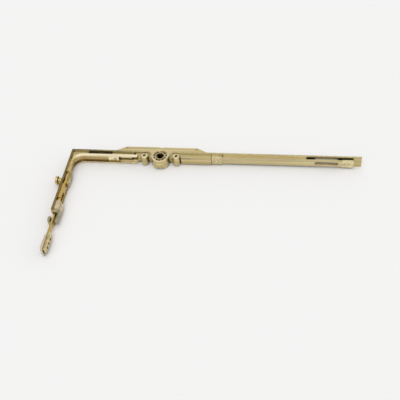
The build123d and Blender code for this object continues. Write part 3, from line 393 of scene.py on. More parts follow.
wear, given, result = new_group(
    "edge wear",
    (("Reach", FLOAT, 0.00035), ("Amount", FLOAT, 0.6)),
    (("Mask", FLOAT),),
)
rounded = add(wear, "ShaderNodeBevel", Radius=given["Reach"])
rounded.samples = BEVEL_SAMPLES
facing = add(wear, "ShaderNodeNewGeometry").outputs["Normal"]
alike = vectors(wear, "DOT_PRODUCT", rounded.outputs[0], facing)
turned_away = maths(wear, "SUBTRACT", 1.0, alike)
place = add(wear, "ShaderNodeTexCoord").outputs["Object"]
broken = add(wear, "ShaderNodeTexNoise", Vector=place, Scale=BREAK_SCALE, Detail=3.0)
patchy = between(wear, broken.outputs["Fac"], *BREAK_STEP)
edge = maths(wear, "MULTIPLY", between(wear, turned_away, *TURN_STEP), patchy)
wear.links.new(maths(wear, "MULTIPLY", edge, given["Amount"]), result["Mask"])
print("group:", wear.name, len(wear.nodes), "nodes")

# %% [markdown]
# ### Grain of drawn strip
# Strip that was drawn or rolled has fine lines along its length. A noise that is stretched along
# one direction gives them. The stretch is an input, so the long arm and the short arm can each
# have lines along their own length.

# %% Drawn grain group
LINE_ROUGHNESS = 0.6
BROAD_SHARE = 0.22

grain, given, result = new_group(
    "drawn grain",
    (("Stretch", VECTOR, (0.02, 1.0, 1.0)), ("Fineness", FLOAT, 2600.0)),
    (("Height", FLOAT), ("Streak", FLOAT)),
)
place = add(grain, "ShaderNodeTexCoord").outputs["Object"]
stretched = vectors(grain, "MULTIPLY", place, given["Stretch"])
lines = add(grain, "ShaderNodeTexNoise", Vector=stretched, Scale=given["Fineness"], Detail=3.0)
lines.inputs["Roughness"].default_value = LINE_ROUGHNESS
broad_scale = maths(grain, "MULTIPLY", given["Fineness"], BROAD_SHARE)
broad = add(grain, "ShaderNodeTexNoise", Vector=stretched, Scale=broad_scale, Detail=2.0)
grain.links.new(lines.outputs["Fac"], result["Height"])
grain.links.new(broad.outputs["Fac"], result["Streak"])
print("group:", grain.name, len(grain.nodes), "nodes")

# %% [markdown]
# ### Skin of a casting
# A die casting copies its mould: it is finely grained all over, with soft flow marks. A small
# noise makes the grain and a large one the marks, and both go to the height of the surface.

# %% Cast skin group
PIT_ROUGHNESS = 0.65
FLOW_SHARE = 0.12
FLOW_BENDING = 0.6
FLOW_HEIGHT = 0.8

cast, given, result = new_group(
    "cast skin",
    (("Fineness", FLOAT, 2200.0),),
    (("Height", FLOAT), ("Streak", FLOAT)),
)
place = add(cast, "ShaderNodeTexCoord").outputs["Object"]
pits = add(cast, "ShaderNodeTexNoise", Vector=place, Scale=given["Fineness"], Detail=4.0)
pits.inputs["Roughness"].default_value = PIT_ROUGHNESS
flow_scale = maths(cast, "MULTIPLY", given["Fineness"], FLOW_SHARE)
flow = add(cast, "ShaderNodeTexNoise", Vector=place, Scale=flow_scale, Detail=2.0)
flow.inputs["Distortion"].default_value = FLOW_BENDING
both = maths(cast, "MULTIPLY_ADD", flow.outputs["Fac"], FLOW_HEIGHT, pits.outputs["Fac"])
cast.links.new(both, result["Height"])
cast.links.new(flow.outputs["Fac"], result["Streak"])
print("group:", cast.name, len(cast.nodes), "nodes")

# %% [markdown]
# ### Turning marks
# The cam and the nut are turned, so their faces carry rings about their own axis. The distance
# from that axis is worked out from a centre and from the two directions across the axis, and a
# noise along that one distance draws the rings.

# %% Turned rings group
rings, given, result = new_group(
    "turned rings",
    (
        ("Centre", VECTOR, (0.0, 0.0, 0.0)),
        ("Across", VECTOR, (1.0, 1.0, 0.0)),
        ("Fineness", FLOAT, 5200.0),
    ),
    (("Height", FLOAT), ("Streak", FLOAT)),
)
place = add(rings, "ShaderNodeTexCoord").outputs["Object"]
from_centre = vectors(rings, "SUBTRACT", place, given["Centre"])
off_axis = vectors(rings, "MULTIPLY", from_centre, given["Across"])
distance = vectors(rings, "LENGTH", off_axis)
along = maths(rings, "MULTIPLY", distance, given["Fineness"])
marks = rings.nodes.new("ShaderNodeTexNoise")
marks.noise_dimensions = "1D"
rings.links.new(along, marks.inputs["W"])
marks.inputs["Scale"].default_value = 1.0
rings.links.new(marks.outputs["Fac"], result["Height"])
rings.links.new(marks.outputs["Fac"], result["Streak"])
print("groups:", len(bpy.data.node_groups))

# %% [markdown]
# ## The finishes
# All finishes are a metal under a film, and differ in their colours, in how satin they are and in
# which effect gives the relief. One function builds the material and takes those as values. The
# shader itself stays in the material, and numbers that are the same all over are set on it.


# %% Function for a finish
BRIGHT_ZINC = (0.86, 0.82, 0.68, 1)
STREAK_GAIN, STREAK_BASE = 1.1, 0.45
ROUGH_BY_STREAK, ROUGH_SHIFT = 0.16, 0.11
ROUGH_BY_PATCH = 0.06
RELIEF_STRENGTH = 0.5
finishes = []


def finish(name, film_values, relief, relief_values=None, *, satin, depth, worn):
    """A plated metal: film, relief group, middle roughness, depth of relief and edge wear."""
    material, tree = new_material(name)
    surface = use(tree, relief, **(relief_values or {}))
    colours = use(tree, film, **film_values)
    rubbed = use(tree, wear, Amount=worn)["Mask"]
    streak = maths(tree, "MULTIPLY_ADD", surface["Streak"], STREAK_GAIN, STREAK_BASE)
    streaked = scale_by(tree, colours["Color"], streak)
    base = blend_colours(tree, rubbed, streaked, BRIGHT_ZINC)
    shift = satin - ROUGH_SHIFT
    dull = maths(tree, "MULTIPLY_ADD", surface["Streak"], ROUGH_BY_STREAK, shift)
    rough = maths(tree, "MULTIPLY_ADD", colours["Patch"], ROUGH_BY_PATCH, dull)
    raised = add(tree, "ShaderNodeBump", Height=surface["Height"], Strength=RELIEF_STRENGTH)
    raised.inputs["Distance"].default_value = depth
    skin = add(tree, "ShaderNodeBsdfPrincipled", Base_Color=base, Roughness=rough)
    tree.links.new(raised.outputs[0], skin.inputs["Normal"])
    skin.inputs["Metallic"].default_value = 1.0
    add(tree, "ShaderNodeOutputMaterial", Surface=skin.outputs[0])
    finishes.append(material)
    return material


# %% [markdown]
# The colours of a film are those of bare metal under it, since a metal has no other colour of its
# own. Most finishes differ only in these colours and in a colour that grows towards one side: a
# stain where the last drops of the bath dried on some, and painted shade on others. Two short
# helpers write such values down, so that each finish below stays short. Such a stain or shade
# starts and is full at two places along its direction, measured in metres from the origin, which
# lies on the axis of the nut.


# %% Helpers for the film's values
NARROW_SHADE_REACH = 0.0012
MIDDLE_SHADE_REACH = 0.0022
WIDE_SHADE_REACH = 0.01
UP, DOWN = (0.0, 0.0, 1.0), (0.0, 0.0, -1.0)
RIGHT, LEFT = (1.0, 0.0, 0.0), (-1.0, 0.0, 0.0)
FRONT = (0.0, -1.0, 0.0)


def coat(gold, pink, green, **more):
    """The three colours of the film, with any other inputs that differ from the usual."""
    return {"Gold": (*gold, 1), "Pink": (*pink, 1), "Green": (*green, 1), **more}


def stain_and_shade_towards(direction, start, full, colour=None):
    """Inputs for a colour growing in one direction, a stain on some finishes and painted shade on
    others, in the usual brown or another colour.
    """
    values = {"Stain And Shade Along": direction, "Stain And Shade From": start, "Stain And Shade Full": full}
    return values if colour is None else {**values, "Stain And Shade": (*colour, 1)}


# %% [markdown]
# The long arm's strip is pale gold, and its bars are a little brighter with stronger lines. The
# short arm took a deeper, warmer gold. The lines of drawing run along X on the long arm and along
# Y on the short one. The channel's folded sides are painted cream as a highlight, a painted
# reflection of the bright ceiling, and towards the front, round the bend, they turn a darker gold.
# The slider shows the same painted highlight, with painted shade below its middle. The channel's
# floor is painted dark brown, as the shade under its upper side, and lighter low down. The long
# plate's inner face is painted greyer, to take out the gold that the rod in front reflects onto
# it, but golden at its toe. The link bar and the rod's end block are the palest bars, the rod
# guide has a painted shadow line at its seam, and the gusset behind the corner is olive.

# %% Strip and bar
ALONG_X = (0.02, 1.0, 1.0)
ALONG_Y = (1.0, 0.02, 1.0)
RUN_Y = (1.0, 0.14, 1.0)
BAR_FINENESS = 1900.0
LONG_LINES = {"Stretch": ALONG_X}
SHORT_LINES = {"Stretch": ALONG_Y}
LONG_BAR_LINES = {"Stretch": ALONG_X, "Fineness": BAR_FINENESS}
SHORT_BAR_LINES = {"Stretch": ALONG_Y, "Fineness": BAR_FINENESS}

STRIP_FILM = coat(
    (0.6, 0.49, 0.25), (0.64, 0.49, 0.29), (0.54, 0.47, 0.22), Corner_Reach=MIDDLE_SHADE_REACH,
)
BAR_FILM = coat((0.64, 0.54, 0.3), (0.68, 0.54, 0.33), (0.6, 0.54, 0.29))
SHORT_FILM = coat((0.6, 0.42, 0.13), (0.64, 0.42, 0.15), (0.53, 0.4, 0.11), Run=RUN_Y)
PAINTED_HIGHLIGHT_FILM = coat(
    (0.93, 0.82, 0.55), (0.95, 0.8, 0.58), (0.86, 0.79, 0.5), Corner_Reach=NARROW_SHADE_REACH,
)
# Painted highlight: a paler film for the tops of the cup's rim and of the handle bosses.
RIM_HIGHLIGHT_FILM = coat(
    (0.78, 0.67, 0.41), (0.8, 0.66, 0.43), (0.72, 0.65, 0.37), Corner_Reach=NARROW_SHADE_REACH,
)
PALE_FILM = coat((0.76, 0.67, 0.4), (0.8, 0.67, 0.44), (0.7, 0.66, 0.38))
# Greyer film with a darker painted shade brown, for the plate's inner face and the channel's floor.
INNER_FILM = coat(
    (0.51, 0.47, 0.35), (0.55, 0.47, 0.37), (0.47, 0.45, 0.33),
    Brown=(0.12, 0.09, 0.03, 1), Corner_Reach=MIDDLE_SHADE_REACH,
)
CARRIER_FILM = coat((0.38, 0.29, 0.08), (0.44, 0.3, 0.12), (0.32, 0.27, 0.07), Run=RUN_Y)
GUSSET_FILM = coat((0.52, 0.42, 0.2), (0.56, 0.42, 0.24), (0.44, 0.39, 0.17))
# Painted shade: the slider turns darker below its middle, from 0.4 mm to 1.8 mm under it.
SLIDER_PAINTED_SHADE = stain_and_shade_towards(DOWN, 0.0004, 0.0018, (0.34, 0.24, 0.08))
# Painted reflection: the cream fold turns a darker gold towards the front, from 3.4 mm to 9 mm in
# front of the nut's axis.
FOLD_REFLECTION_SHADE = stain_and_shade_towards(FRONT, 0.0034, 0.009, (0.62, 0.47, 0.2))
TOE_GOLD = stain_and_shade_towards(RIGHT, 0.2455, 0.25, (0.6, 0.5, 0.25))
# Painted shade: the channel's floor is dark above, under its upper side, and lighter low down.
WEB_PAINTED_SHADE = stain_and_shade_towards(UP, -0.0034, -0.0016, (0.13, 0.085, 0.02))
# Painted shadow line: dark on the rod guide's left end up to x = 68.4 mm, fading out by 69.4 mm.
SEAM_SHADOW_LINE = stain_and_shade_towards(LEFT, -0.0694, -0.0684)

strip_long = finish(
    "gold strip long", STRIP_FILM, grain, LONG_LINES, satin=0.3, depth=0.00003, worn=0.7,
)
strip_short = finish(
    "gold strip short", SHORT_FILM, grain, SHORT_LINES, satin=0.3, depth=0.00003, worn=0.6,
)
bar_long = finish(
    "gold bar long", BAR_FILM, grain, LONG_BAR_LINES, satin=0.28, depth=0.00004, worn=0.7,
)
bar_short = finish(
    "gold bar short", SHORT_FILM, grain, SHORT_BAR_LINES, satin=0.28, depth=0.00004, worn=0.7,
)
# Painted highlight: the slider's cream film, with painted shade below.
slider_painted_light = finish(
    "slider painted light", {**PAINTED_HIGHLIGHT_FILM, **SLIDER_PAINTED_SHADE}, cast, satin=0.3, depth=0.00003, worn=0.7,
)
rim_painted_highlight = finish("rim painted highlight", RIM_HIGHLIGHT_FILM, cast, satin=0.28, depth=0.00003, worn=0.7)
# Painted highlight: the folded channel's cream film stands for the reflected bright ceiling.
fold_painted_reflection = finish(
    "fold painted reflection", {**PAINTED_HIGHLIGHT_FILM, **FOLD_REFLECTION_SHADE}, grain, LONG_LINES,
    satin=0.26, depth=0.00003, worn=0.6,
)
# Painted shade on the floor of the channel.
web_painted_shade = finish(
    "web painted shade", {**INNER_FILM, **WEB_PAINTED_SHADE}, grain, LONG_LINES,
    satin=0.34, depth=0.00003, worn=0.2,
)
# Painted greyer to take out the gold that the rod reflects onto this face, and golden again at its
# toe.
plate_inner = finish(
    "plate inner face", {**INNER_FILM, **TOE_GOLD}, grain, LONG_LINES,
    satin=0.34, depth=0.00003, worn=0.5,
)
carrier_gold = finish("gold carrier", CARRIER_FILM, cast, satin=0.3, depth=0.00004, worn=0.8)
link_pale = finish(
    "pale link", PALE_FILM, grain, LONG_BAR_LINES, satin=0.3, depth=0.00004, worn=0.7,
)
block_pale = finish("pale end block", PALE_FILM, cast, satin=0.34, depth=0.00004, worn=0.7)
# The guide's film carries a painted shadow line at its seam with the case.
guide_pale = finish(
    "pale guide", {**BAR_FILM, **SEAM_SHADOW_LINE}, cast, satin=0.32, depth=0.00004, worn=0.7,
)
gusset_olive = finish("olive gusset", GUSSET_FILM, cast, satin=0.36, depth=0.00004, worn=0.7)
print("finishes with strip and bar:", len(finishes))

# %% [markdown]
# The faceplates are slit from wide coil, and a slit edge is rougher than the rolled face. The
# film takes darker there, olive near the corner and nearly brown on the short plate. So each
# plate has a second finish, which goes on its narrow edges further on.

# %% Slit edges
CORNER_STAIN = stain_and_shade_towards(LEFT, 0.045, 0.112)
SLIT_FILM = coat((0.54, 0.47, 0.24), (0.52, 0.42, 0.24), (0.42, 0.4, 0.18))
DARK_SLIT_FILM = coat((0.2, 0.16, 0.05), (0.22, 0.14, 0.05), (0.16, 0.15, 0.04), Run=RUN_Y)
slit_long = finish(
    "slit edge long", {**SLIT_FILM, **CORNER_STAIN}, cast, satin=0.4, depth=0.00004, worn=0.5,
)
slit_short = finish("slit edge short", DARK_SLIT_FILM, cast, satin=0.4, depth=0.00004, worn=0.3)
print("finishes with slit edges:", len(finishes))

# %% [markdown]
# Castings are duller and finely grained. The end guide is a bare casting, warm silver with a pink
# cast that turns dull towards its tip, and the end plate is grey plated steel. The case is pressed
# from sheet. It shows the lines of rolling along its length, and its painted shade, brown,
# reaches widely round its cup and bosses.

# %% Castings
CASE_FINENESS = 1300.0
CAST_FILM = coat((0.61, 0.5, 0.25), (0.66, 0.51, 0.3), (0.53, 0.47, 0.21))
TIP_STAIN = stain_and_shade_towards(FRONT, 0.0975, 0.1015, (0.4, 0.36, 0.22))
BARE_FILM = coat(
    (0.66, 0.54, 0.38), (0.7, 0.53, 0.4), (0.58, 0.52, 0.34),
    Brown=(0.15, 0.11, 0.05, 1), Run=RUN_Y,
)
GREY_FILM = coat(
    (0.64, 0.59, 0.46), (0.7, 0.59, 0.48), (0.56, 0.55, 0.43),
    Brown=(0.3, 0.24, 0.14, 1), Run=RUN_Y,
)
cast_gold = finish("gold casting", CAST_FILM, cast, satin=0.34, depth=0.00005, worn=0.7)
# Painted shade reaches widely round the cup and the bosses.
pressed_case = finish(
    "pressed case", {**CAST_FILM, "Corner Reach": WIDE_SHADE_REACH}, grain,
    {"Stretch": ALONG_X, "Fineness": CASE_FINENESS}, satin=0.3, depth=0.00004, worn=0.7,
)
cast_bare = finish(
    "bare casting", {**BARE_FILM, **TIP_STAIN}, cast, satin=0.42, depth=0.00005, worn=0.4,
)
plate_grey = finish(
    "grey plate", GREY_FILM, grain, SHORT_LINES, satin=0.4, depth=0.00003, worn=0.4,
)
print("finishes with castings and plate:", len(finishes))

# %% [markdown]
# The nut and the cam are turned. Their rings need the axis of each, which comes from the frame:
# the middle of the nut's box, and the middle of the cam's box across its stem. The gaps between
# the nut's teeth and the recess round its socket lie deep, so they get a finish of their own, a
# near black brown that is painted shade.

# %% Turned pieces
cam_low, cam_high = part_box("mushroom_cam")
nut_low, nut_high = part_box("spindle_nut")
TURNED_FILM = coat((0.52, 0.42, 0.17), (0.6, 0.48, 0.28), (0.4, 0.35, 0.1))
NUT_FILM = coat((0.58, 0.48, 0.25), (0.61, 0.48, 0.28), (0.51, 0.45, 0.21))
# Painted shade: near black brown for the deep gaps between the nut's teeth and its recess.
GAP_SHADE_FILM = coat((0.12, 0.08, 0.02), (0.15, 0.1, 0.04), (0.09, 0.07, 0.02))
cam_marks = {"Centre": (cam_low + cam_high) / 2, "Across": (0.0, 1.0, 1.0)}
nut_marks = {"Centre": (nut_low + nut_high) / 2, "Across": (1.0, 1.0, 0.0)}
turned_cam = finish(
    "turned cam", TURNED_FILM, rings, cam_marks, satin=0.2, depth=0.00003, worn=0.5,
)
turned_nut = finish("turned nut", NUT_FILM, rings, nut_marks, satin=0.3, depth=0.00003, worn=0.8)
gap_painted_shade = finish("gap painted shade", GAP_SHADE_FILM, cast, satin=0.3, depth=0.00002, worn=0.1)
print("cam axis at y", round(cam_marks["Centre"][1] / MM, 1), "mm")

# %% [markdown]
# The spring leaves are thin rolled steel, golden with a dark lower edge. Rivets are bright from
# the blow of the tool that set them, only the tubular ones of the case are dark. The last two
# tables say which finish goes with a slot of the record, and which pieces have one of their own.

# %% Spring and rivets
SPRING_FILM = coat((0.58, 0.44, 0.2), (0.62, 0.45, 0.22), (0.5, 0.42, 0.17))
SPRING_DARKER_BELOW = stain_and_shade_towards(DOWN, 0.0002, 0.0036, (0.22, 0.14, 0.04))
RIVET_FILM = coat((0.6, 0.5, 0.3), (0.64, 0.5, 0.34), (0.54, 0.5, 0.29))
spring_steel = finish(
    "gold spring", {**SPRING_FILM, **SPRING_DARKER_BELOW}, grain, LONG_LINES,
    satin=0.3, depth=0.00002, worn=0.3,
)
rivet_steel = finish("gold rivet", RIVET_FILM, cast, satin=0.32, depth=0.00002, worn=0.7)
rivet_dark = finish("dark rivet", GUSSET_FILM, cast, satin=0.32, depth=0.00002, worn=0.4)

# %% Which piece has which finish
FINISH_OF_SLOT = {
    "casting": cast_gold, "spring": spring_steel, "rivet": rivet_steel,
    "bare_casting": cast_bare, "bare_sheet": plate_grey,
}
OWN_FINISH_OF = {
    "guide_channel": fold_painted_reflection, "case_base": pressed_case, "case_cover": pressed_case,
    "corner_gusset": gusset_olive, "band_slider": slider_painted_light, "rod_guide": guide_pale,
    "link_bar": link_pale, "rod_end_block": block_pale, "cam_carrier": carrier_gold,
    "case_rivets": rivet_dark,
}
SHORT_ARM_BODY = "short_drive"
SHORT_ARM_STRIPS = ("faceplate_short", "short_channel")


def finish_for(node):
    """The finish of a node, from its slot in the record and from the arm that it lies on."""
    if node in OWN_FINISH_OF:
        return OWN_FINISH_OF[node]
    slot = slot_of_node[node]
    short = body_of_node[node] == SHORT_ARM_BODY or node in SHORT_ARM_STRIPS
    if slot == "sheet":
        return strip_short if short else strip_long
    if slot == "bar":
        return bar_short if short else bar_long
    if slot == "turned":
        return turned_cam if node == "mushroom_cam" else turned_nut
    return FINISH_OF_SLOT[slot]


print("finishes in all tables:", len(finishes))

# %% [markdown]
# ## Edges
# The solids have knife-sharp edges, and real metal never has. A sharp edge catches no light, so
# the piece looks like paper. The fix is a small round on every edge, from a tenth to nearly half
# of a millimetre, made by a Bevel modifier on a copy. The copy's loose triangles are merged first,
# and flat triangles are joined into whole faces, because a bevel needs clean edges to follow.

# %% Helper for merged copies
MERGE_DISTANCE = 0.000002
FLAT_ANGLE = radians(0.6)


def merged_copy(node, name):
    """A copy of a node's mesh as one closed skin with whole flat faces."""
    mesh = bpy.data.meshes.new(name)
    skin = bmesh.new()
    skin.from_mesh(nodes[node].data)
    bmesh.ops.remove_doubles(skin, verts=skin.verts, dist=MERGE_DISTANCE)
    bmesh.ops.dissolve_limit(skin, angle_limit=FLAT_ANGLE, verts=skin.verts, edges=skin.edges)
    skin.to_mesh(mesh)
    skin.free()
    piece = bpy.data.objects.new(name, mesh)
    bpy.context.scene.collection.objects.link(piece)
    return piece


def dress(piece, material, body, slot, *stands_for):
    """Gives a piece its finish and its body, and hides the nodes that it stands for; the slot is not
    used.
    """
    piece.data.materials.clear()
    piece.data.materials.append(material)
    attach(piece, body)
    if stands_for:
        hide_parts(*stands_for)


# %% [markdown]
# A blanked plate has a small round, a casting a larger one, and the rod guide and the folded
# channels the largest. The angle limit keeps the bevel off the gentle steps between the facets of
# a round surface, and those are shaded smooth.

# %% Soften the edges
SMOOTH_ANGLE = radians(28)
ROUND_OF_SLOT = {
    "sheet": 0.16 * MM, "bar": 0.2 * MM, "casting": 0.22 * MM, "turned": 0.14 * MM,
    "rivet": 0.1 * MM, "bare_casting": 0.25 * MM, "bare_sheet": 0.2 * MM,
}
OWN_ROUND_OF = {
    "rod_guide": 0.45 * MM, "guide_channel": 0.3 * MM, "short_channel": 0.3 * MM,
    "case_cover": 0.25 * MM,
}
BEVEL_STEPS = 2


def soften(piece, size):
    """Rounds the sharp edges of a piece and makes the modifier's result its own mesh."""
    piece.data.shade_smooth()
    piece.data.set_sharp_from_angle(angle=SMOOTH_ANGLE)
    bevel = piece.modifiers.new("round", "BEVEL")
    bevel.width = size
    bevel.segments = BEVEL_STEPS
    bevel.limit_method = "ANGLE"
    bevel.angle_limit = SMOOTH_ANGLE
    bevel.use_clamp_overlap = True
    bevel.harden_normals = True
    bpy.context.view_layer.update()
    evaluated = piece.evaluated_get(bpy.context.evaluated_depsgraph_get())
    finished = bpy.data.meshes.new_from_object(evaluated)
    piece.modifiers.clear()
    piece.data = finished


# %% [markdown]
# ## Faces with a second finish
# Some faces look unlike the rest of their piece: the slit edges of a plate; its inner face,
# painted greyer; the floor of the channel and the gaps of the nut, painted dark as shade; and the
# rims of the cup and of the handle bosses, painted lighter as a highlight. They could be cut off as
# pieces of their own, but a mesh can hold several materials and each of its faces says which one
# it shows. So a short test on the direction of a face, on its middle or on its corners picks them
# out.

# %% Tests for single faces
FACING = 0.7
SIDEWAYS = 0.5
WEB_FLOOR_Y = -1.0 * MM
TOOTH_ROOT = 6.25 * MM
RECESS_EDGE = 5.3 * MM
HANDLE_SCREW_X = 21.5 * MM
CUP_RIM = 11.9 * MM
BOSS_RIM = 5.3 * MM
RIMS = ((0.0, CUP_RIM), (-HANDLE_SCREW_X, BOSS_RIM), (HANDLE_SCREW_X, BOSS_RIM))


def is_slit_edge(face, corners):
    """The narrow edges of a faceplate look up or down."""
    return abs(face.normal.z) > FACING


def is_inner(face, corners):
    """The inner face of a plate looks into the sash."""
    return face.normal.y < -FACING


def is_web_floor(face, corners):
    """The flat floor of the long channel."""
    return is_inner(face, corners) and face.center.y > WEB_FLOOR_Y


def in_shaded_gap(face, corners):
    """A face of the nut between the teeth or down in the recess."""
    flank = abs(face.normal.z) < SIDEWAYS and face.center.xy.length > TOOTH_ROOT
    return flank or all(corner.xy.length < RECESS_EDGE for corner in corners)


def is_rim(face, corners):
    """The top of the cup or of a handle boss."""
    return face.normal.z > FACING and any(
        all((corner.xy - Vector((x, 0.0))).length < reach for corner in corners)
        for x, reach in RIMS
    )


SECOND_FINISHES_OF = {
    "faceplate_long": ((slit_long, is_slit_edge), (plate_inner, is_inner)),
    "faceplate_short": ((slit_short, is_slit_edge),),
    "spindle_nut": ((gap_painted_shade, in_shaded_gap),),
    "guide_channel": ((web_painted_shade, is_web_floor),),
    "case_base": ((rim_painted_highlight, is_rim),),
    "case_cover": ((rim_painted_highlight, is_rim),),
}


def second_finish(piece, material, wanted):
    """Gives the faces of a piece that pass a test one more finish, and counts them."""
    piece.data.materials.append(material)
    points = [vertex.co for vertex in piece.data.vertices]
    chosen = [
        face for face in piece.data.polygons if wanted(face, [points[i] for i in face.vertices])
    ]
    for face in chosen:
        face.material_index = len(piece.data.materials) - 1
    return len(chosen)


# %% [markdown]
# ## Dress the pieces
# Every node gets its rounded copy, its finish and its body. The rack and its pins lie inside the
# case, where no one sees them, so they stay as they are and only take a finish. The two spring
# leaves come after this.

# %% Dress every piece
BAND_LEAVES = ("corner_band_outer", "corner_band_inner")
HIDDEN_INSIDE = ("rack", "rack_rivets")

finished_pieces = []
for node in sorted(nodes):
    if node in BAND_LEAVES:
        continue
    if node in HIDDEN_INSIDE:
        nodes[node].data.materials.clear()
        nodes[node].data.materials.append(finish_for(node))
        continue
    piece = merged_copy(node, node + "_finished")
    soften(piece, OWN_ROUND_OF.get(node, ROUND_OF_SLOT[slot_of_node[node]]))
    dress(piece, finish_for(node), body_of_node[node], slot_of_node[node], node)
    for material, wanted in SECOND_FINISHES_OF.get(node, ()):
        print(node, "faces in", material.name + ":", second_finish(piece, material, wanted))
    finished_pieces.append(piece)
face_count = sum(len(piece.data.polygons) for piece in finished_pieces)
print("softened:", len(finished_pieces), "pieces,", face_count, "faces")

# %% [markdown]
# ## The spring band
# Two thin leaves of spring steel run round the corner inside the channel. On the real part one end
# of the band moves with the long arm and the other with the short arm, and the bend stays where it
# is. Each leaf is cut in two just past the bend, and each half takes the spring finish.

# %% Cut the leaves
BEND_CUT_Y = -14.3 * MM
LONG_BLEND = ((-104 * MM, 0, 0), (-71 * MM, 0, 0))
SHORT_BLEND = ((0, -15 * MM, 0), (0, -35 * MM, 0))
ARMS = (("long", True, "drive", LONG_BLEND), ("short", False, "short_drive", SHORT_BLEND))


def keep_side(piece, y, upper):
    """Cuts a piece across at a height y, keeps one side and closes the cut."""
    skin = bmesh.new()
    skin.from_mesh(piece.data)
    everything = skin.verts[:] + skin.edges[:] + skin.faces[:]
    cut = bmesh.ops.bisect_plane(
        skin, geom=everything, plane_co=(0, y, 0), plane_no=(0, 1, 0),
        clear_inner=upper, clear_outer=not upper,
    )
    rim = [item for item in cut["geom_cut"] if isinstance(item, bmesh.types.BMEdge)]
    bmesh.ops.contextual_create(skin, geom=rim)
    bmesh.ops.recalc_face_normals(skin, faces=skin.faces)
    skin.to_mesh(piece.data)
    skin.free()


for node in BAND_LEAVES:
    for arm, upper, other_body, stations in ARMS:
        piece = merged_copy(node, node + "_" + arm)
        keep_side(piece, BEND_CUT_Y, upper)
        piece.data.shade_smooth()
        piece.data.set_sharp_from_angle(angle=SMOOTH_ANGLE)
        piece.data.materials.clear()
        piece.data.materials.append(spring_steel)
        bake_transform(piece)
        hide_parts(node)
        print(piece.name, len(piece.data.polygons), "faces")

# %% [markdown]
# ## Threads in the handle bosses
# The handle's two screws go into the bosses beside the nut. A tapped hole shows its thread as
# bright rings, because the cut is fresh metal, and the painted shade in the bore is only a pale
# brown, so its far wall stays light. Each thread is one closed sleeve in the bore, and its inner
# wall steps in and out as the angle and the height go round together, which is what makes a
# helix. A picture of rings would look flat from the side.

# %% Tapped sleeves
THREAD_OUTER = 2.12 * MM
THREAD_CREST = 1.72 * MM
THREAD_ROOT = 2.06 * MM
THREAD_PITCH = 0.8 * MM
THREAD_SIDES = 32
ROWS_PER_PITCH = 6
case_low, case_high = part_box("case_base")
INSET_BELOW = 0.5 * MM
INSET_ABOVE = 0.6 * MM
THREAD_LOW = case_low[2] + INSET_BELOW
THREAD_HIGH = case_high[2] - INSET_ABOVE


def tapped_sleeve(name, centre_x):
    """A closed sleeve with a helical inner wall round the axis of a screw hole."""
    rows = int((THREAD_HIGH - THREAD_LOW) / THREAD_PITCH * ROWS_PER_PITCH)
    vertices, faces = [], []
    for row in range(rows + 1):
        z = THREAD_LOW + (THREAD_HIGH - THREAD_LOW) * row / rows
        for side in range(THREAD_SIDES):
            turn_share = side / THREAD_SIDES
            phase = (z / THREAD_PITCH - turn_share) % 1.0
            depth = abs(2 * phase - 1)
            radius = THREAD_CREST + (THREAD_ROOT - THREAD_CREST) * depth
            angle = 2 * pi * turn_share
            vertices.append((centre_x + radius * cos(angle), radius * sin(angle), z))
    inner_count = len(vertices)
    for z in (THREAD_LOW, THREAD_HIGH):
        for side in range(THREAD_SIDES):
            angle = 2 * pi * side / THREAD_SIDES
            vertices.append((centre_x + THREAD_OUTER * cos(angle), THREAD_OUTER * sin(angle), z))
    for side in range(THREAD_SIDES):
        after = (side + 1) % THREAD_SIDES
        for row in range(rows):
            low, high = row * THREAD_SIDES, (row + 1) * THREAD_SIDES
            faces.append((low + after, low + side, high + side, high + after))
        bottom, top = inner_count, inner_count + THREAD_SIDES
        last = rows * THREAD_SIDES
        faces.append((bottom + side, bottom + after, top + after, top + side))
        faces.append((side, after, bottom + after, bottom + side))
        faces.append((last + after, last + side, top + side, top + after))
    mesh = bpy.data.meshes.new(name)
    mesh.from_pydata(vertices, [], faces)
    skin = bmesh.new()
    skin.from_mesh(mesh)
    bmesh.ops.recalc_face_normals(skin, faces=skin.faces)
    skin.to_mesh(mesh)
    skin.free()
    mesh.shade_smooth()
    mesh.set_sharp_from_angle(angle=SMOOTH_ANGLE)
    piece = bpy.data.objects.new(name, mesh)
    bpy.context.scene.collection.objects.link(piece)
    return piece


# Bright film for fresh-cut metal, with only a pale painted shade in the bore.
CUT_FILM = coat(
    (0.72, 0.6, 0.44), (0.74, 0.58, 0.48), (0.66, 0.58, 0.42), Brown=(0.5, 0.4, 0.26, 1),
)
fresh_cut = finish("fresh thread", CUT_FILM, cast, satin=0.34, depth=0.00001, worn=0.5)
for side, centre_x in (("left", -HANDLE_SCREW_X), ("right", HANDLE_SCREW_X)):
    piece = tapped_sleeve("handle_thread_" + side, centre_x)
    dress(piece, fresh_cut, "frame", "casting")
    print(piece.name, len(piece.data.polygons), "faces")

# %% [markdown]
# ## Rivet heads
# The solids hold plain pins. On the real part each pin was upset into a low head. There are about
# twenty heads of one kind, so a Geometry Nodes tree makes them: it puts one head on every point
# of a small helper mesh and turns it to the direction that is stored on the point. The head is a
# ring of facets lifted to a shallow dome by a formula, so its size stays an input. The search for
# the pins takes points from a set, which has no order, so the pins are sorted by place afterwards
# and every run gives the same mesh.

# %% Where the heads sit
OUTER_HEADS = (
    "gusset_rivets", "channel_rivets", "rod_guide_rivets", "glide_strip_rivets", "fork_rivets",
)
INNER_HEADS = ("carrier_rivets", "rod_end_rivets", "band_rivets", "slider_rivet")


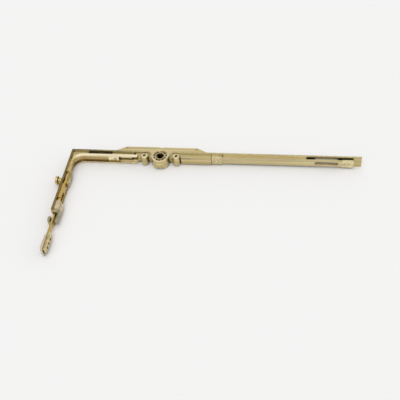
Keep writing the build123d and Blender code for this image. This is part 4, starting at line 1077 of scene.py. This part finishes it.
def separate_solids(node):
    """The lowest and highest corner of each separate solid in a node, in a fixed order."""
    skin = bmesh.new()
    skin.from_mesh(nodes[node].data)
    bmesh.ops.remove_doubles(skin, verts=skin.verts, dist=MERGE_DISTANCE)
    left = set(skin.verts)
    boxes = []
    while left:
        found = {left.pop()}
        edge_of_search = list(found)
        while edge_of_search:
            vertex = edge_of_search.pop()
            for edge in vertex.link_edges:
                other = edge.other_vert(vertex)
                if other in left:
                    left.remove(other)
                    found.add(other)
                    edge_of_search.append(other)
        corners = [[vertex.co[axis] for vertex in found] for axis in range(3)]
        boxes.append((Vector(map(min, corners)), Vector(map(max, corners))))
    skin.free()
    return sorted(boxes, key=lambda box: tuple(box[0]))


def pin_ends(node):
    """For each pin of a node: its outer end, its inner end and the direction outwards."""
    ends = []
    for low, high in separate_solids(node):
        size = high - low
        if size.y > size.x + MERGE_DISTANCE:
            axis, first, last, outwards = 1, high, low, Vector((0, 1, 0))
        else:
            axis, first, last, outwards = 0, low, high, Vector((-1, 0, 0))
        outer_end, inner_end = (low + high) / 2, (low + high) / 2
        outer_end[axis], inner_end[axis] = first[axis], last[axis]
        ends.append((outer_end, inner_end, outwards))
    return ends


heads_of_body = {}
for node in OUTER_HEADS + INNER_HEADS:
    for outer_end, inner_end, outwards in pin_ends(node):
        seat = (outer_end, outwards) if node in OUTER_HEADS else (inner_end, -outwards)
        heads_of_body.setdefault(body_of_node[node], []).append(seat)
print("heads:", {body: len(heads) for body, heads in heads_of_body.items()})

# %% The tree that makes heads
HEAD_SIDES = 28
HEAD_RINGS = 6
HEAD_SINK = 0.02 * MM
HEAD_SIZES = {"Head Radius": 1.85 * MM, "Head Height": 0.42 * MM}


def head_tree(material):
    """A geometry tree that sets one low domed head on every point of the mesh."""
    tree = bpy.data.node_groups.new("rivet heads", "GeometryNodeTree")
    tree.interface.new_socket(name="Points", in_out="INPUT", socket_type="NodeSocketGeometry")
    for label, value in HEAD_SIZES.items():
        socket = tree.interface.new_socket(name=label, in_out="INPUT", socket_type=FLOAT)
        socket.default_value = value
    tree.interface.new_socket(name="Heads", in_out="OUTPUT", socket_type="NodeSocketGeometry")
    given = tree.nodes.new("NodeGroupInput").outputs
    radius = given["Head Radius"]
    disc = add(tree, "GeometryNodeMeshCone", Vertices=HEAD_SIDES, Side_Segments=HEAD_RINGS)
    put(disc.inputs["Radius Bottom"], radius, tree)
    disc.inputs["Radius Top"].default_value = 0.0
    position = add(tree, "GeometryNodeInputPosition").outputs[0]
    place = add(tree, "ShaderNodeSeparateXYZ", Vector=position).outputs
    x_squared = maths(tree, "MULTIPLY", place["X"], place["X"])
    y_squared = maths(tree, "MULTIPLY", place["Y"], place["Y"])
    squares = maths(tree, "ADD", x_squared, y_squared)
    share = maths(tree, "DIVIDE", squares, maths(tree, "MULTIPLY", radius, radius))
    room = maths(tree, "MAXIMUM", maths(tree, "SUBTRACT", 1.0, share), 0.0)
    lift = maths(tree, "MULTIPLY", maths(tree, "SQRT", room), given["Head Height"])
    rise = maths(tree, "SUBTRACT", lift, HEAD_SINK)
    lifted = add(tree, "ShaderNodeCombineXYZ", X=place["X"], Y=place["Y"], Z=rise)
    dome = add(tree, "GeometryNodeSetPosition", Geometry=disc.outputs["Mesh"])
    put(dome.inputs["Position"], lifted.outputs[0], tree)
    smooth = add(tree, "GeometryNodeSetShadeSmooth", Geometry=dome.outputs[0])
    outwards = tree.nodes.new("GeometryNodeInputNamedAttribute")
    outwards.data_type = "FLOAT_VECTOR"
    outwards.inputs["Name"].default_value = "outwards"
    turned = add(tree, "FunctionNodeAlignRotationToVector", Vector=outwards.outputs["Attribute"])
    turned.axis = "Z"
    spread = add(
        tree, "GeometryNodeInstanceOnPoints", Points=given["Points"],
        Instance=smooth.outputs[0], Rotation=turned.outputs[0],
    )
    real = add(tree, "GeometryNodeRealizeInstances", Geometry=spread.outputs[0])
    painted = add(tree, "GeometryNodeSetMaterial", Geometry=real.outputs[0], Material=material)
    add(tree, "NodeGroupOutput", Heads=painted.outputs[0])
    return tree


# %% Set the heads
def grow(points_object, tree, values):
    """Runs a geometry tree on a helper object and returns the result as a plain mesh."""
    modifier = points_object.modifiers.new("grow", "NODES")
    modifier.node_group = tree
    for item in tree.interface.items_tree:
        if item.name in values:
            modifier[item.identifier] = values[item.name]
    bpy.context.view_layer.update()
    evaluated = points_object.evaluated_get(bpy.context.evaluated_depsgraph_get())
    mesh = bpy.data.meshes.new_from_object(evaluated)
    points_object.modifiers.clear()
    return mesh


rivet_tree = head_tree(rivet_steel)
for body, heads in heads_of_body.items():
    points = bpy.data.meshes.new(body + "_rivet_heads")
    points.from_pydata([place for place, outwards in heads], [], [])
    directions = points.attributes.new("outwards", "FLOAT_VECTOR", "POINT")
    for item, (place, outwards) in zip(directions.data, heads):
        item.vector = outwards
    piece = bpy.data.objects.new(body + "_rivet_heads", points)
    bpy.context.scene.collection.objects.link(piece)
    piece.data = grow(piece, rivet_tree, HEAD_SIZES)
    dress(piece, rivet_steel, body, "rivet")
    print(piece.name, len(piece.data.polygons), "faces")
